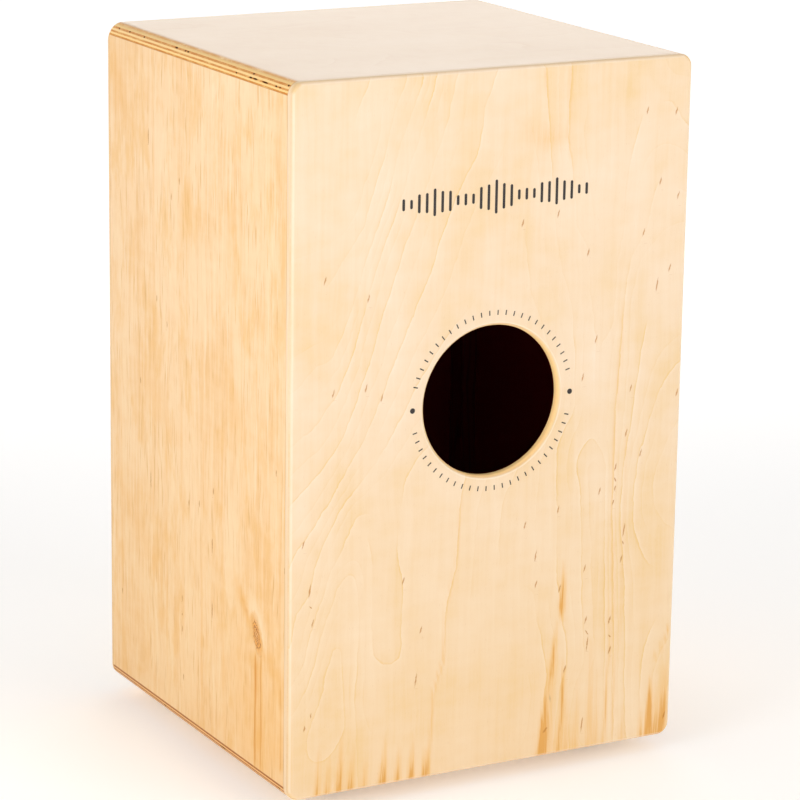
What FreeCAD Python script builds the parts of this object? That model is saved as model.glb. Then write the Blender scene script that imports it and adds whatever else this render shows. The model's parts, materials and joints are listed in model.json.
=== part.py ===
import FreeCAD, Part
import os
import Sketcher
from FreeCAD import Vector, Placement, Rotation

# Cajon: a plywood box drum that is sat on and played by hand on its thin front plate.
# Frame: +Z up, -Y is the playing face, +Y is the rear panel with the sound hole,
# +X is to the right of a person looking at the playing face.
# The origin is the centre of the footprint, on the floor under the feet.

doc = FreeCAD.newDocument("cajon")
sheet = doc.addObject("Spreadsheet::Sheet", "sizes")

# alias, value in millimetres, meaning
TABLE = [
    ("body_width", 304.0, "outside width of the box along X"),
    ("body_depth", 290.0, "outside depth of the box along Y"),
    ("body_height", 488.0, "outside height of the box without feet"),
    ("foot_height", 12.0, "height of the rubber feet"),
    ("panel_thick", 9.0, "top, bottom and side panels"),
    ("rear_thick", 6.5, "rear panel, laid over the rear of the box"),
    ("plate_thick", 3.0, "front playing plate"),
    ("edge_radius", 9.0, "rounding of the four long edges that run front to rear"),
    ("rear_round", 3.0, "rounding of the rear panel's outer edge"),
    ("front_round", 1.2, "sanded arris around the playing plate"),
    ("front_top_round", 8.0, "hand rounding of the front top edge"),
    ("hole_radius", 52.0, "sound hole wall"),
    ("hole_round", 3.0, "rounding of the sound hole's outer rim"),
    ("hole_inner_round", 1.0, "easing of the sound hole's inner rim"),
    ("hole_height", 274.0, "sound hole centre above the floor"),
    ("batten_high", 12.0, "front battens, across the panel they are glued to"),
    ("batten_deep", 18.0, "front battens, front to rear"),
    ("screw_inset", 14.0, "plate screws from the outside edges"),
    ("plate_screw_head", 3.6, "plate screw head, as a radius"),
    ("plate_screw_shank", 1.5, "plate screw shank, as a radius"),
    ("plate_screw_long", 20.0, "plate screw length"),
    ("plate_screw_point", 3.0, "length of the plate screw's point"),
    ("plate_screw_cone", 2.3, "depth of the countersunk head"),
    ("head_land", 0.4, "straight rim of the countersunk head"),
    ("head_gap", 0.12, "gap around a countersunk head"),
    ("recess_half", 1.75, "half length of a cross recess"),
    ("recess_thin", 0.42, "half width of a cross recess"),
    ("recess_deep", 1.4, "depth of a cross recess"),
    ("pilot_extra", 0.5, "extra length of the pilot holes in battens and snare bar"),
    ("pivot_back", 96.0, "snare bar pivot in front of the box centre"),
    ("pivot_height", 330.0, "snare bar pivot above the floor"),
    ("bar_long", 240.0, "snare bar along X"),
    ("bar_deep", 20.0, "snare bar front to rear"),
    ("bar_high", 30.0, "snare bar height"),
    ("bar_drop", 6.0, "underside of the snare bar below the pivot"),
    ("bar_gap", 3.5, "snare bar front face behind the plate"),
    ("bar_round", 2.5, "rounding of the snare bar's long edges"),
    ("strip_wide", 48.0, "snare end strip along X"),
    ("strip_high", 14.0, "snare end strip height"),
    ("strip_thick", 0.8, "snare end strip thickness"),
    ("strip_center", 68.0, "snare set centre from the middle"),
    ("strand_radius", 1.1, "snare strand, outside radius of the coil"),
    ("strand_pitch", 3.4, "spacing of the strands"),
    ("strand_rise", 1.0, "lower end of the strands above the pivot"),
    ("strand_long", 137.0, "length of a strand"),
    ("strip_screw_reach", 20.5, "strip screws from the set's centre"),
    ("pan_head", 2.7, "pan head screw head, as a radius"),
    ("pan_high", 1.6, "pan head height"),
    ("pan_shank", 1.3, "pan head screw shank, as a radius"),
    ("pan_point", 2.5, "length of a pan head screw's point"),
    ("shank_gap", 0.15, "gap around the shank of a pan head screw"),
    ("strip_screw_long", 12.0, "strip screw under its head"),
    ("bracket_screw_long", 13.0, "bracket screw under its head"),
    ("bracket_screw_rise", 9.0, "bracket screws above the pivot"),
    ("bracket_screw_end", 7.0, "first bracket screw from the bracket's end"),
    ("bracket_screw_pitch", 15.0, "spacing of a bracket's two screws"),
    ("bracket_thick", 2.5, "bracket plate"),
    ("bracket_high", 26.0, "bracket along Z"),
    ("bracket_drop", 11.0, "bracket below the pivot"),
    ("bracket_reach", 40.0, "bracket along the snare bar"),
    ("bracket_tail", 12.0, "bracket behind the pivot"),
    ("bracket_round", 5.0, "rounding of the bracket's end corners"),
    ("block_thick", 18.0, "pivot block along X"),
    ("block_deep", 52.0, "pivot block front to rear"),
    ("block_high", 48.0, "pivot block height"),
    ("bolt_radius", 3.0, "pivot bolt shank"),
    ("bolt_run", 0.07, "running clearance of bracket and nut on the bolt"),
    ("bolt_bore_gap", 0.1, "gap around the bolt in the pivot block"),
    ("bolt_head", 7.5, "pivot bolt head, as a radius"),
    ("bolt_head_gap", 0.3, "gap around the bolt head in its well"),
    ("bolt_head_high", 3.0, "pivot bolt head thickness"),
    ("bolt_long", 33.0, "pivot bolt shank length"),
    ("bolt_tip_inset", 0.7, "bevel of the bolt's tip, off the radius"),
    ("bolt_tip_long", 0.9, "bevel of the bolt's tip, along the bolt"),
    ("side_gap", 0.1, "clearance between bracket and pivot block"),
    ("washer_radius", 7.5, "pivot washer"),
    ("washer_thick", 1.2, "pivot washer"),
    ("washer_bore_gap", 0.2, "gap around the bolt in the pivot washer"),
    ("washer_gap", 0.1, "clearance on each face of the pivot washer"),
    ("nut_hub", 6.0, "wing nut hub, as a radius"),
    ("nut_high", 8.0, "wing nut hub length"),
    ("wing_reach", 15.5, "wing nut wings, as a radius"),
    ("wing_thick", 2.4, "wing nut wings"),
    ("wing_root", 0.9, "start of the wing outline outside the nut's bore"),
    ("wing_root_rise", 1.2, "wing outline above the hub's foot, at the bore"),
    ("wing_hub_rise", 0.8, "wing outline above the hub's foot, at the hub's rim"),
    ("foot_radius", 15.0, "foot at the box"),
    ("foot_taper", 1.6, "narrowing of the foot towards the floor"),
    ("foot_low_bevel", 1.2, "bevel of the foot's floor edge"),
    ("foot_top_inset", 0.6, "bevel of the foot's top edge, off the radius"),
    ("foot_top_drop", 1.0, "bevel of the foot's top edge, along Z"),
    ("foot_inset", 48.0, "foot centre from the outside edges"),
    ("foot_well", 6.5, "screw well in the foot, as a radius"),
    ("foot_well_deep", 6.0, "depth of the screw well"),
    ("foot_screw_shank", 2.0, "foot screw shank, as a radius"),
    ("foot_screw_gap", 0.2, "gap around the screw shank in the foot"),
    ("foot_screw_head", 4.0, "foot screw head, as a radius"),
    ("foot_screw_high", 2.2, "foot screw head height"),
    ("foot_screw_long", 13.5, "foot screw under its head"),
    ("foot_washer_radius", 5.6, "washer in the foot"),
    ("foot_washer_thick", 1.0, "washer in the foot"),
]

OVERRUN = 1.0      # how far cutting shapes stand past the faces they cut
TOUCH = 1e-6       # tolerance for finding an edge by its place
SIDES = (("left", -1), ("right", 1))


class Dim:
    """A number together with the spreadsheet expression that gives it."""

    def __init__(self, value, text):
        self.value = float(value)
        self.text = text

    def __add__(self, other):
        other = dim(other)
        return Dim(self.value + other.value, "(%s + %s)" % (self.text, other.text))

    def __sub__(self, other):
        other = dim(other)
        return Dim(self.value - other.value, "(%s - %s)" % (self.text, other.text))

    def __mul__(self, other):
        other = dim(other)
        return Dim(self.value * other.value, "(%s * %s)" % (self.text, other.text))

    def __truediv__(self, other):
        other = dim(other)
        return Dim(self.value / other.value, "(%s / %s)" % (self.text, other.text))

    def __neg__(self):
        return Dim(-self.value, "(0 - %s)" % self.text)


def dim(value):
    if isinstance(value, Dim):
        return value
    return Dim(value, repr(float(value)))


class Sizes:
    """The sheet's dimensions, one attribute for each alias."""


size = Sizes()
for row, (alias, value, note) in enumerate(TABLE, 1):
    sheet.set("A%d" % row, note)
    sheet.set("B%d" % row, repr(value))
    sheet.setAlias("B%d" % row, alias)
    setattr(size, alias, Dim(value, "sizes." + alias))
doc.recompute()

# Outer faces of the box
LEFT, RIGHT = -size.body_width / 2, size.body_width / 2
FRONT, BACK = -size.body_depth / 2, size.body_depth / 2
LOW, TOP = size.foot_height, size.foot_height + size.body_height
# Inner faces of the box
IN_FRONT = FRONT + size.plate_thick
IN_BACK = BACK - size.rear_thick
IN_LEFT, IN_RIGHT = LEFT + size.panel_thick, RIGHT - size.panel_thick
IN_LOW, IN_TOP = LOW + size.panel_thick, TOP - size.panel_thick
# Snare bar pivot, snare bar and end strips
PIVOT_Y, PIVOT_Z = -size.pivot_back, size.pivot_height
BAR_FRONT = IN_FRONT + size.bar_gap
BAR_BACK = BAR_FRONT + size.bar_deep
BAR_LOW = PIVOT_Z - size.bar_drop
BAR_TOP = BAR_LOW + size.bar_high
STRIP_FRONT = BAR_FRONT - size.strip_thick
# Right-hand bracket and pivot block; the left-hand ones are mirrored
BLOCK_FACE = IN_RIGHT - size.block_thick        # block face towards the middle of the box
LEG_OUT = BLOCK_FACE - size.side_gap            # outer face of the bracket's pivot leg
LEG_IN = LEG_OUT - size.bracket_thick
BRACKET_END = LEG_OUT - size.bracket_reach
BRACKET_SCREW_Z = PIVOT_Z + size.bracket_screw_rise
BRACKET_SCREW_A = BRACKET_END + size.bracket_screw_end
BRACKET_SCREW_XS = (BRACKET_SCREW_A, BRACKET_SCREW_A + size.bracket_screw_pitch)

# Turns of a piece's own +Z
TO_FRONT = Rotation(Vector(1, 0, 0), 90)        # to -Y
TO_BACK = Rotation(Vector(1, 0, 0), -90)        # to +Y
TO_FLOOR = Rotation(Vector(1, 0, 0), 180)       # to -Z


def outward(side):
    """Turns +Z to +X for side 1 and to -X for side -1."""
    return Rotation(Vector(0, 1, 0), 90 * side)


def inward(side):
    return outward(-side)


# ---------------------------------------------------------------- document helpers
NODES = {}


def node(name, obj):
    """Labels a finished piece and lists it for export."""
    obj.Label = name
    NODES[name] = obj


def bind(obj, prop, value):
    value = dim(value)
    setattr(obj, prop, value.value)
    obj.setExpression(prop, value.text)


def put(obj, x, y, z, rotation=None):
    """Places an object; its position is bound to the sheet."""
    x, y, z = dim(x), dim(y), dim(z)
    obj.Placement = Placement(Vector(x.value, y.value, z.value), rotation or Rotation())
    obj.setExpression(".Placement.Base.x", x.text)
    obj.setExpression(".Placement.Base.y", y.text)
    obj.setExpression(".Placement.Base.z", z.text)
    return obj


def box(name, low, high):
    obj = doc.addObject("Part::Box", name)
    for prop, start, end in zip(("Length", "Width", "Height"), low, high):
        bind(obj, prop, end - start)
    return put(obj, *low)


def cylinder(name, radius, length, x, y, z, rotation=None):
    obj = doc.addObject("Part::Cylinder", name)
    bind(obj, "Radius", radius)
    bind(obj, "Height", length)
    return put(obj, x, y, z, rotation)


def cone(name, radius_low, radius_high, length, x, y, z):
    obj = doc.addObject("Part::Cone", name)
    bind(obj, "Radius1", radius_low)
    bind(obj, "Radius2", radius_high)
    bind(obj, "Height", length)
    return put(obj, x, y, z)


def torus(name, ring_radius, tube_radius, x, y, z, rotation):
    obj = doc.addObject("Part::Torus", name)
    bind(obj, "Radius1", ring_radius)
    bind(obj, "Radius2", tube_radius)
    return put(obj, x, y, z, rotation)


def common(name, base, tool):
    obj = doc.addObject("Part::Common", name)
    obj.Base, obj.Tool = base, tool
    return obj


def cut(name, base, tool):
    obj = doc.addObject("Part::Cut", name)
    obj.Base, obj.Tool = base, tool
    return obj


def fuse(name, *shapes):
    obj = doc.addObject("Part::MultiFuse", name)
    obj.Shapes = list(shapes)
    return obj


def group(name, members):
    obj = doc.addObject("Part::Compound", name)
    obj.Links = list(members)
    return obj


def copy_of(master, name, x, y, z, rotation):
    """A linked copy of a master piece, placed on its own."""
    obj = doc.addObject("App::Link", name)
    obj.LinkedObject = master
    obj.LinkTransform = False
    return put(obj, x, y, z, rotation)


def new_body(name):
    return doc.addObject("PartDesign::Body", name)


def plane(body, role):
    for feature in body.Origin.OriginFeatures:
        if feature.Role == role:
            return feature
    raise RuntimeError("no plane " + role)


def polygon(body, role, name, points, lift=None):
    """A closed sketch whose corner positions are bound to the sheet."""
    sketch = body.newObject("Sketcher::SketchObject", name)
    sketch.AttachmentSupport = (plane(body, role), [""])
    sketch.MapMode = "FlatFace"
    if lift is not None:
        sketch.AttachmentOffset = Placement(Vector(0, 0, lift.value), Rotation())
        sketch.setExpression(".AttachmentOffset.Base.z", lift.text)
    points = [(dim(x), dim(y)) for x, y in points]
    corners = [Vector(x.value, y.value, 0) for x, y in points]
    count = len(corners)
    for i in range(count):
        sketch.addGeometry(Part.LineSegment(corners[i], corners[(i + 1) % count]), False)
    for i in range(count):
        sketch.addConstraint(Sketcher.Constraint("Coincident", i, 2, (i + 1) % count, 1))
    for i, (x, y) in enumerate(points):
        for kind, axis, value in (("DistanceX", -2, x), ("DistanceY", -1, y)):
            if abs(value.value) < 1e-9:
                sketch.addConstraint(Sketcher.Constraint("PointOnObject", i, 1, axis))
                continue
            # a distance is kept positive by measuring from the lower point to the higher
            if value.value > 0:
                ends = (-1, 1, i, 1)
            else:
                ends = (i, 1, -1, 1)
                value = -value
            index = sketch.addConstraint(Sketcher.Constraint(kind, *ends, value.value))
            sketch.setExpression("Constraints[%d]" % index, value.text)
    return sketch


def revolve(body, name, feature_name, points):
    """Turns an outline of (radius, height) points about the body's Z axis."""
    sketch = polygon(body, "XZ_Plane", name + "_outline", points)
    feature = body.newObject("PartDesign::Revolution", feature_name)
    feature.Profile = sketch
    feature.ReferenceAxis = (sketch, ["V_Axis"])
    feature.Angle = 360.0


def pad(body, sketch, name, length, both_sides=False):
    feature = body.newObject("PartDesign::Pad", name)
    feature.Profile = sketch
    bind(feature, "Length", length)
    if both_sides:
        feature.Midplane = True
    return feature


def runs_along(edge, axis):
    bounds = edge.BoundBox
    lengths = (bounds.XLength, bounds.YLength, bounds.ZLength)
    return lengths[axis] > 1.0 and all(lengths[k] < TOUCH for k in range(3) if k != axis)


def fillet(body, base, name, radius, chosen):
    """Rounds the edges of the base feature for which chosen(edge) is true."""
    doc.recompute()
    names = ["Edge%d" % i for i, edge in enumerate(base.Shape.Edges, 1) if chosen(edge)]
    feature = body.newObject("PartDesign::Fillet", name)
    feature.Base = (base, names)
    bind(feature, "Radius", radius)
    doc.recompute()
    return feature


# ---------------------------------------------------------------- outer form


def outer_form():
    """The box's outside, its long edges rounded and its rear and front outlines eased."""
    body = new_body("outer_form")
    corners = [(LEFT, LOW), (RIGHT, LOW), (RIGHT, TOP), (LEFT, TOP)]
    sketch = polygon(body, "XZ_Plane", "outer_form_outline", corners)
    block = pad(body, sketch, "outer_form_block", size.body_depth, both_sides=True)
    long_edges = fillet(body, block, "long_edges", size.edge_radius, lambda e: runs_along(e, 1))
    rear = fillet(body, long_edges, "rear_outline", size.rear_round,
                  lambda e: e.BoundBox.YMin > BACK.value - TOUCH)
    fillet(body, rear, "front_outline", size.front_round,
           lambda e: e.BoundBox.YMax < FRONT.value + TOUCH)
    return body


def hand_form():
    """The same block with only its front top edge rounded, for the player's hands."""
    body = new_body("hand_form")
    corners = [(FRONT, LOW), (BACK, LOW), (BACK, TOP), (FRONT, TOP)]
    sketch = polygon(body, "YZ_Plane", "hand_form_outline", corners)
    block = pad(body, sketch, "hand_form_block", size.body_width, both_sides=True)

    def front_top(edge):
        bounds = edge.BoundBox
        return (runs_along(edge, 0) and bounds.YMax < FRONT.value + TOUCH
                and bounds.ZMin > TOP.value - TOUCH)

    fillet(body, block, "hand_edge", size.front_top_round, front_top)
    return body


envelope = common("envelope", outer_form(), hand_form())

# ---------------------------------------------------------------- screws
# Masters stand on their tip at the origin, head up.

TIP_RATIO = 0.35            # radius of a screw's blunt tip, of its shank
PAN_RIM_RATIO = 0.55        # straight rim of a pan head, of its height
PAN_TOP_RATIO = 0.72        # flat top of a pan head, of its radius
PAN_RECESS_HALF = 0.55      # half length of a pan head's recess, of the head's radius
PAN_RECESS_THIN = 0.85      # half width of a pan head's recess, of recess_thin
PAN_RECESS_DEEP = 0.75      # depth of a pan head's recess, of the head's height


def cross_recess(body, name, half, thin, depth, top):
    """Sinks an upright cross into the screw head whose top is given."""
    points = [
        (half, thin), (thin, thin), (thin, half), (-thin, half), (-thin, thin), (-half, thin),
        (-half, -thin), (-thin, -thin), (-thin, -half), (thin, -half), (thin, -thin), (half, -thin),
    ]
    feature_sketch = polygon(body, "XY_Plane", name + "_cross", points, lift=top)
    feature = body.newObject("PartDesign::Pocket", name + "_recess")
    feature.Profile = feature_sketch
    bind(feature, "Length", depth)


def countersunk_screw(name):
    body = new_body(name)
    head, shank, length = size.plate_screw_head, size.plate_screw_shank, size.plate_screw_long
    revolve(body, name, name + "_turned", [
        (0, 0), (shank * TIP_RATIO, 0), (shank, size.plate_screw_point),
        (shank, length - size.plate_screw_cone), (head, length - size.head_land),
        (head, length), (0, length),
    ])
    cross_recess(body, name, size.recess_half, size.recess_thin, size.recess_deep, length)
    return body


def pan_screw(name, head, head_high, shank, length):
    body = new_body(name)
    top = length + head_high
    revolve(body, name, name + "_turned", [
        (0, 0), (shank * TIP_RATIO, 0), (shank, size.pan_point), (shank, length), (head, length),
        (head, length + head_high * PAN_RIM_RATIO), (head * PAN_TOP_RATIO, top), (0, top),
    ])
    cross_recess(body, name, head * PAN_RECESS_HALF, size.recess_thin * PAN_RECESS_THIN,
                 head_high * PAN_RECESS_DEEP, top)
    return body


plate_screw = countersunk_screw("plate_screw")
strip_screw = pan_screw("strip_screw", size.pan_head, size.pan_high, size.pan_shank,
                        size.strip_screw_long)
bracket_screw = pan_screw("bracket_screw", size.pan_head, size.pan_high, size.pan_shank,
                          size.bracket_screw_long)
foot_screw = pan_screw("foot_screw", size.foot_screw_head, size.foot_screw_high,
                       size.foot_screw_shank, size.foot_screw_long)

# ---------------------------------------------------------------- plate screws and their holes
SIDE_SCREWS = 5     # down each side of the plate, corners included


def plate_screw_points():
    """(x, z) of each screw: down both sides, then two more along bottom and top."""
    across = RIGHT - size.screw_inset
    lowest, highest = LOW + size.screw_inset, TOP - size.screw_inset
    points = []
    for side in (-1, 1):
        for k in range(SIDE_SCREWS):
            z = lowest + (highest - lowest) * (k / (SIDE_SCREWS - 1))
            points.append((across * side, z))
    for z in (lowest, highest):
        for side in (-1, 1):
            points.append((across * (side / 3.0), z))
    return points


def plate_hole_tool():
    """A countersunk hole, standing on the plate's inner face."""
    shank = size.plate_screw_shank + size.head_gap
    head = size.plate_screw_head + size.head_gap
    thick, land, sunk = size.plate_thick, size.head_land, size.plate_screw_cone
    return fuse(
        "plate_hole_tool",
        cylinder("plate_hole_shank", shank, thick + OVERRUN, 0, 0, -OVERRUN),
        cone("plate_hole_cone", shank, head, sunk - land, 0, 0, thick - sunk),
        cylinder("plate_hole_land", head, land + OVERRUN, 0, 0, thick - land),
    )


hole_master = plate_hole_tool()
pilot_master = cylinder("plate_pilot_tool", size.plate_screw_shank,
                        size.plate_screw_long - size.plate_thick + size.pilot_extra, 0, 0, 0)
plate_screws, plate_holes, plate_pilots = [], [], []
for n, (x, z) in enumerate(plate_screw_points(), 1):
    plate_screws.append(copy_of(plate_screw, "plate_screw_%02d" % n,
                                x, FRONT + size.plate_screw_long, z, TO_FRONT))
    plate_holes.append(copy_of(hole_master, "plate_hole_%02d" % n, x, IN_FRONT, z, TO_FRONT))
    plate_pilots.append(copy_of(pilot_master, "plate_pilot_%02d" % n, x, IN_FRONT, z, TO_BACK))
plate_hole_group = group("plate_holes", plate_holes)
plate_pilot_group = group("plate_pilots", plate_pilots)
node("front_plate_screws", group("plate_screw_group", plate_screws))

# ---------------------------------------------------------------- box panels
# Each panel is the part of the envelope inside a slab.
PAST_LEFT, PAST_RIGHT = LEFT - OVERRUN, RIGHT + OVERRUN
PAST_FRONT, PAST_BACK = FRONT - OVERRUN, BACK + OVERRUN
PAST_LOW, PAST_TOP = LOW - OVERRUN, TOP + OVERRUN


def panel(name, slab_name, low, high):
    return common(name, envelope, box(slab_name, low, high))


def rim_tool(name, radius, rounding, disc_y, ring_y):
    """A disc with a torus taken from its edge, which leaves the hole's rim rounded."""
    ring_radius = radius + rounding
    disc = cylinder(name + "_disc", ring_radius, rounding + OVERRUN,
                    0, disc_y, size.hole_height, TO_BACK)
    tube = torus(name + "_ring", ring_radius, rounding, 0, ring_y, size.hole_height, TO_BACK)
    return cut(name + "_tool", disc, tube)


def sound_hole():
    """A straight wall, rounded at the outer rim and eased at the inner rim."""
    radius, outer, inner = size.hole_radius, size.hole_round, size.hole_inner_round
    wall = cylinder("hole_wall", radius, size.rear_thick + 2 * OVERRUN,
                    0, IN_BACK - OVERRUN, size.hole_height, TO_BACK)
    outer_rim = rim_tool("hole_rim", radius, outer, BACK - outer, BACK - outer)
    inner_rim = rim_tool("hole_inner", radius, inner, IN_BACK - OVERRUN, IN_BACK + inner)
    return fuse("sound_hole_tool", wall, outer_rim, inner_rim)


node("top_panel", panel("top_panel_form", "top_slab",
                        (PAST_LEFT, IN_FRONT, IN_TOP), (PAST_RIGHT, IN_BACK, PAST_TOP)))
bottom_blank = panel("bottom_blank", "bottom_slab",
                     (PAST_LEFT, IN_FRONT, PAST_LOW), (PAST_RIGHT, IN_BACK, IN_LOW))
node("side_panel_left", panel("side_left_form", "side_left_slab",
                              (PAST_LEFT, IN_FRONT, IN_LOW), (IN_LEFT, IN_BACK, IN_TOP)))
node("side_panel_right", panel("side_right_form", "side_right_slab",
                               (IN_RIGHT, IN_FRONT, IN_LOW), (PAST_RIGHT, IN_BACK, IN_TOP)))
rear_blank = panel("rear_blank", "rear_slab",
                   (PAST_LEFT, IN_BACK, PAST_LOW), (PAST_RIGHT, PAST_BACK, PAST_TOP))
plate_blank = panel("plate_blank", "plate_slab",
                    (PAST_LEFT, PAST_FRONT, PAST_LOW), (PAST_RIGHT, IN_FRONT, PAST_TOP))
node("front_plate", cut("front_plate_form", plate_blank, plate_hole_group))
node("rear_panel", cut("rear_panel_form", rear_blank, sound_hole()))

# ---------------------------------------------------------------- front battens
# Top and bottom battens run the full inner width; the side ones stand between them.
BATTEN_BACK = IN_FRONT + size.batten_deep
BATTEN_LOW, BATTEN_TOP = IN_LOW + size.batten_high, IN_TOP - size.batten_high
# tag, x from, x to, z from, z to
BATTENS = [
    ("top", IN_LEFT, IN_RIGHT, BATTEN_TOP, IN_TOP),
    ("bottom", IN_LEFT, IN_RIGHT, IN_LOW, BATTEN_LOW),
    ("left", IN_LEFT, IN_LEFT + size.batten_high, BATTEN_LOW, BATTEN_TOP),
    ("right", IN_RIGHT - size.batten_high, IN_RIGHT, BATTEN_LOW, BATTEN_TOP),
]
for tag, x_from, x_to, z_from, z_to in BATTENS:
    bar = box("batten_%s_bar" % tag, (x_from, IN_FRONT, z_from), (x_to, BATTEN_BACK, z_to))
    node("front_batten_" + tag, cut("batten_%s_form" % tag, bar, plate_pilot_group))

# ---------------------------------------------------------------- snare bar and its wires
STRANDS = 10        # in each snare set


def snare_bar_blank():
    body = new_body("snare_bar_blank")
    corners = [(BAR_FRONT, BAR_LOW), (BAR_BACK, BAR_LOW), (BAR_BACK, BAR_TOP), (BAR_FRONT, BAR_TOP)]
    sketch = polygon(body, "YZ_Plane", "snare_bar_section", corners)
    bar = pad(body, sketch, "snare_bar_length", size.bar_long, both_sides=True)
    fillet(body, bar, "snare_bar_edges", size.bar_round, lambda e: runs_along(e, 0))
    return body


def snare_strip(tag, side, holes):
    """A thin plate on the bar's front face that holds one set of strands."""
    name = "strip_" + tag
    center, half = size.strip_center * side, size.strip_wide / 2
    blank = box(name + "_blank", (center - half, STRIP_FRONT, PIVOT_Z),
                (center + half, BAR_FRONT, PIVOT_Z + size.strip_high))
    node("snare_" + name, cut(name + "_form", blank, group(name + "_holes", holes)))


def snare_wires(tag, side):
    """A row of upright strands that touch the front of their strip."""
    name = "strand_" + tag
    radius = size.strand_radius
    members = []
    for k in range(STRANDS):
        x = size.strip_center * side + size.strand_pitch * (k - (STRANDS - 1) / 2)
        members.append(cylinder("%s_%02d" % (name, k + 1), radius, size.strand_long,
                                x, STRIP_FRONT - radius, PIVOT_Z + size.strand_rise))
    node("snare_wires_" + tag, group(name + "_group", members))


# Strip screws enter the bar from the front
bar_blank = snare_bar_blank()
strip_screw_z = PIVOT_Z + size.strip_high / 2
strip_screws, bar_pilots = [], []
n = 0
for tag, side in SIDES:
    strip_holes = []
    for reach in (-1, 1):
        n += 1
        x = size.strip_center * side + size.strip_screw_reach * reach
        strip_screws.append(copy_of(strip_screw, "strip_screw_%d" % n, x,
                                    STRIP_FRONT + size.strip_screw_long, strip_screw_z, TO_FRONT))
        bar_pilots.append(cylinder("strip_pilot_%d" % n, size.pan_shank,
                                   size.strip_screw_long + size.pilot_extra,
                                   x, STRIP_FRONT, strip_screw_z, TO_BACK))
        strip_holes.append(cylinder("strip_hole_%d" % n, size.pan_shank + size.shank_gap,
                                    size.strip_thick + 2 * OVERRUN,
                                    x, STRIP_FRONT - OVERRUN, strip_screw_z, TO_BACK))
    snare_strip(tag, side, strip_holes)
    snare_wires(tag, side)
node("snare_strip_screws", group("strip_screw_group", strip_screws))

# Bracket screws go forward into the bar from behind
bracket_back = BAR_BACK + size.bracket_thick
bracket_screws = []
n = 0
for tag, side in SIDES:
    for screw_x in BRACKET_SCREW_XS:
        n += 1
        x = screw_x * side
        bracket_screws.append(copy_of(bracket_screw, "bracket_screw_%d" % n, x,
                                      bracket_back - size.bracket_screw_long,
                                      BRACKET_SCREW_Z, TO_BACK))
        bar_pilots.append(cylinder("bracket_pilot_%d" % n, size.pan_shank,
                                   size.bracket_screw_long + size.pilot_extra,
                                   x, bracket_back, BRACKET_SCREW_Z, TO_FRONT))
node("bracket_screws", group("bracket_screw_group", bracket_screws))
node("snare_bar", cut("snare_bar_form", bar_blank, group("bar_pilots", bar_pilots)))

# ---------------------------------------------------------------- pivots
BOLT_RIM_RATIO = 0.45       # straight rim of the bolt head, of its thickness
BOLT_TOP_RATIO = 0.6        # flat top of the bolt head, of its radius
HUB_RIM_RATIO = 0.35        # straight foot of the nut's hub, of its length
HUB_TOP_RATIO = 0.8         # top of the nut's hub, of its radius
# Outer corners of a wing: x as a share of wing_reach, z as a share of nut_high
WING_CORNERS = [(0.82, 0.55), (1.0, 0.95), (1.0, 1.45), (0.86, 1.6), (0.66, 1.35)]
WING_HUB_RATIO = 0.78       # wing's upper corner over the hub, of the hub's radius
WING_HUB_HIGH = 0.92        # height of that corner, of nut_high
WING_ROOT_HIGH = 0.9        # top of the wing at the bore, of nut_high


def bracket(name, side):
    """An L of steel plate: one leg behind the bar, one leg back to the pivot."""
    body = new_body(name + "_bent")
    thick = size.bracket_thick
    tail = PIVOT_Y + size.bracket_tail
    # plan view corners, starting at the inner end of the leg that lies on the bar
    plan = [
        (BRACKET_END, BAR_BACK), (LEG_OUT, BAR_BACK), (LEG_OUT, tail),
        (LEG_IN, tail), (LEG_IN, bracket_back), (BRACKET_END, bracket_back),
    ]
    outline = polygon(body, "XY_Plane", name + "_plan", [(x * side, y) for x, y in plan],
                      lift=PIVOT_Z - size.bracket_drop)
    plate = pad(body, outline, name + "_height", size.bracket_high)

    def at_x(edge, x):
        return abs(abs(edge.BoundBox.XMin) - x.value) < TOUCH

    def outer_corner(edge):
        return (runs_along(edge, 2) and at_x(edge, LEG_OUT)
                and abs(edge.BoundBox.YMin - BAR_BACK.value) < TOUCH)

    def end_corner(edge):
        at_tail = runs_along(edge, 0) and edge.BoundBox.YMin > tail.value - TOUCH
        return at_tail or (runs_along(edge, 1) and at_x(edge, BRACKET_END))

    bend = fillet(body, plate, name + "_bend", thick, outer_corner)
    fillet(body, bend, name + "_ends", size.bracket_round, end_corner)

    long_ = thick + 2 * OVERRUN
    holes = [cylinder(name + "_pivot_hole", size.bolt_radius + size.bolt_run, long_,
                      (LEG_IN - OVERRUN) * side, PIVOT_Y, PIVOT_Z, outward(side))]
    for k, x in enumerate(BRACKET_SCREW_XS, 1):
        holes.append(cylinder("%s_screw_hole_%d" % (name, k), size.pan_shank + size.shank_gap,
                              long_, x * side, BAR_BACK - OVERRUN, BRACKET_SCREW_Z, TO_BACK))
    return cut(name + "_form", body, group(name + "_holes", holes))


def pivot_block(name, side):
    """A block glued to the side panel behind the batten, bored for the bolt."""
    low_z = PIVOT_Z - size.block_high / 2
    start, end = (BLOCK_FACE, IN_RIGHT) if side > 0 else (IN_LEFT, -BLOCK_FACE)
    blank = box(name + "_blank", (start, BATTEN_BACK, low_z),
                (end, BATTEN_BACK + size.block_deep, low_z + size.block_high))
    bore = cylinder(name + "_bore", size.bolt_radius + size.bolt_bore_gap,
                    size.block_thick + 2 * OVERRUN,
                    (BLOCK_FACE - OVERRUN) * side, PIVOT_Y, PIVOT_Z, outward(side))
    well = cylinder(name + "_well", size.bolt_head + size.bolt_head_gap,
                    size.bolt_head_high + OVERRUN,
                    (IN_RIGHT - size.bolt_head_high) * side, PIVOT_Y, PIVOT_Z, outward(side))
    return cut(name + "_form", blank, group(name + "_holes", [bore, well]))


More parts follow.
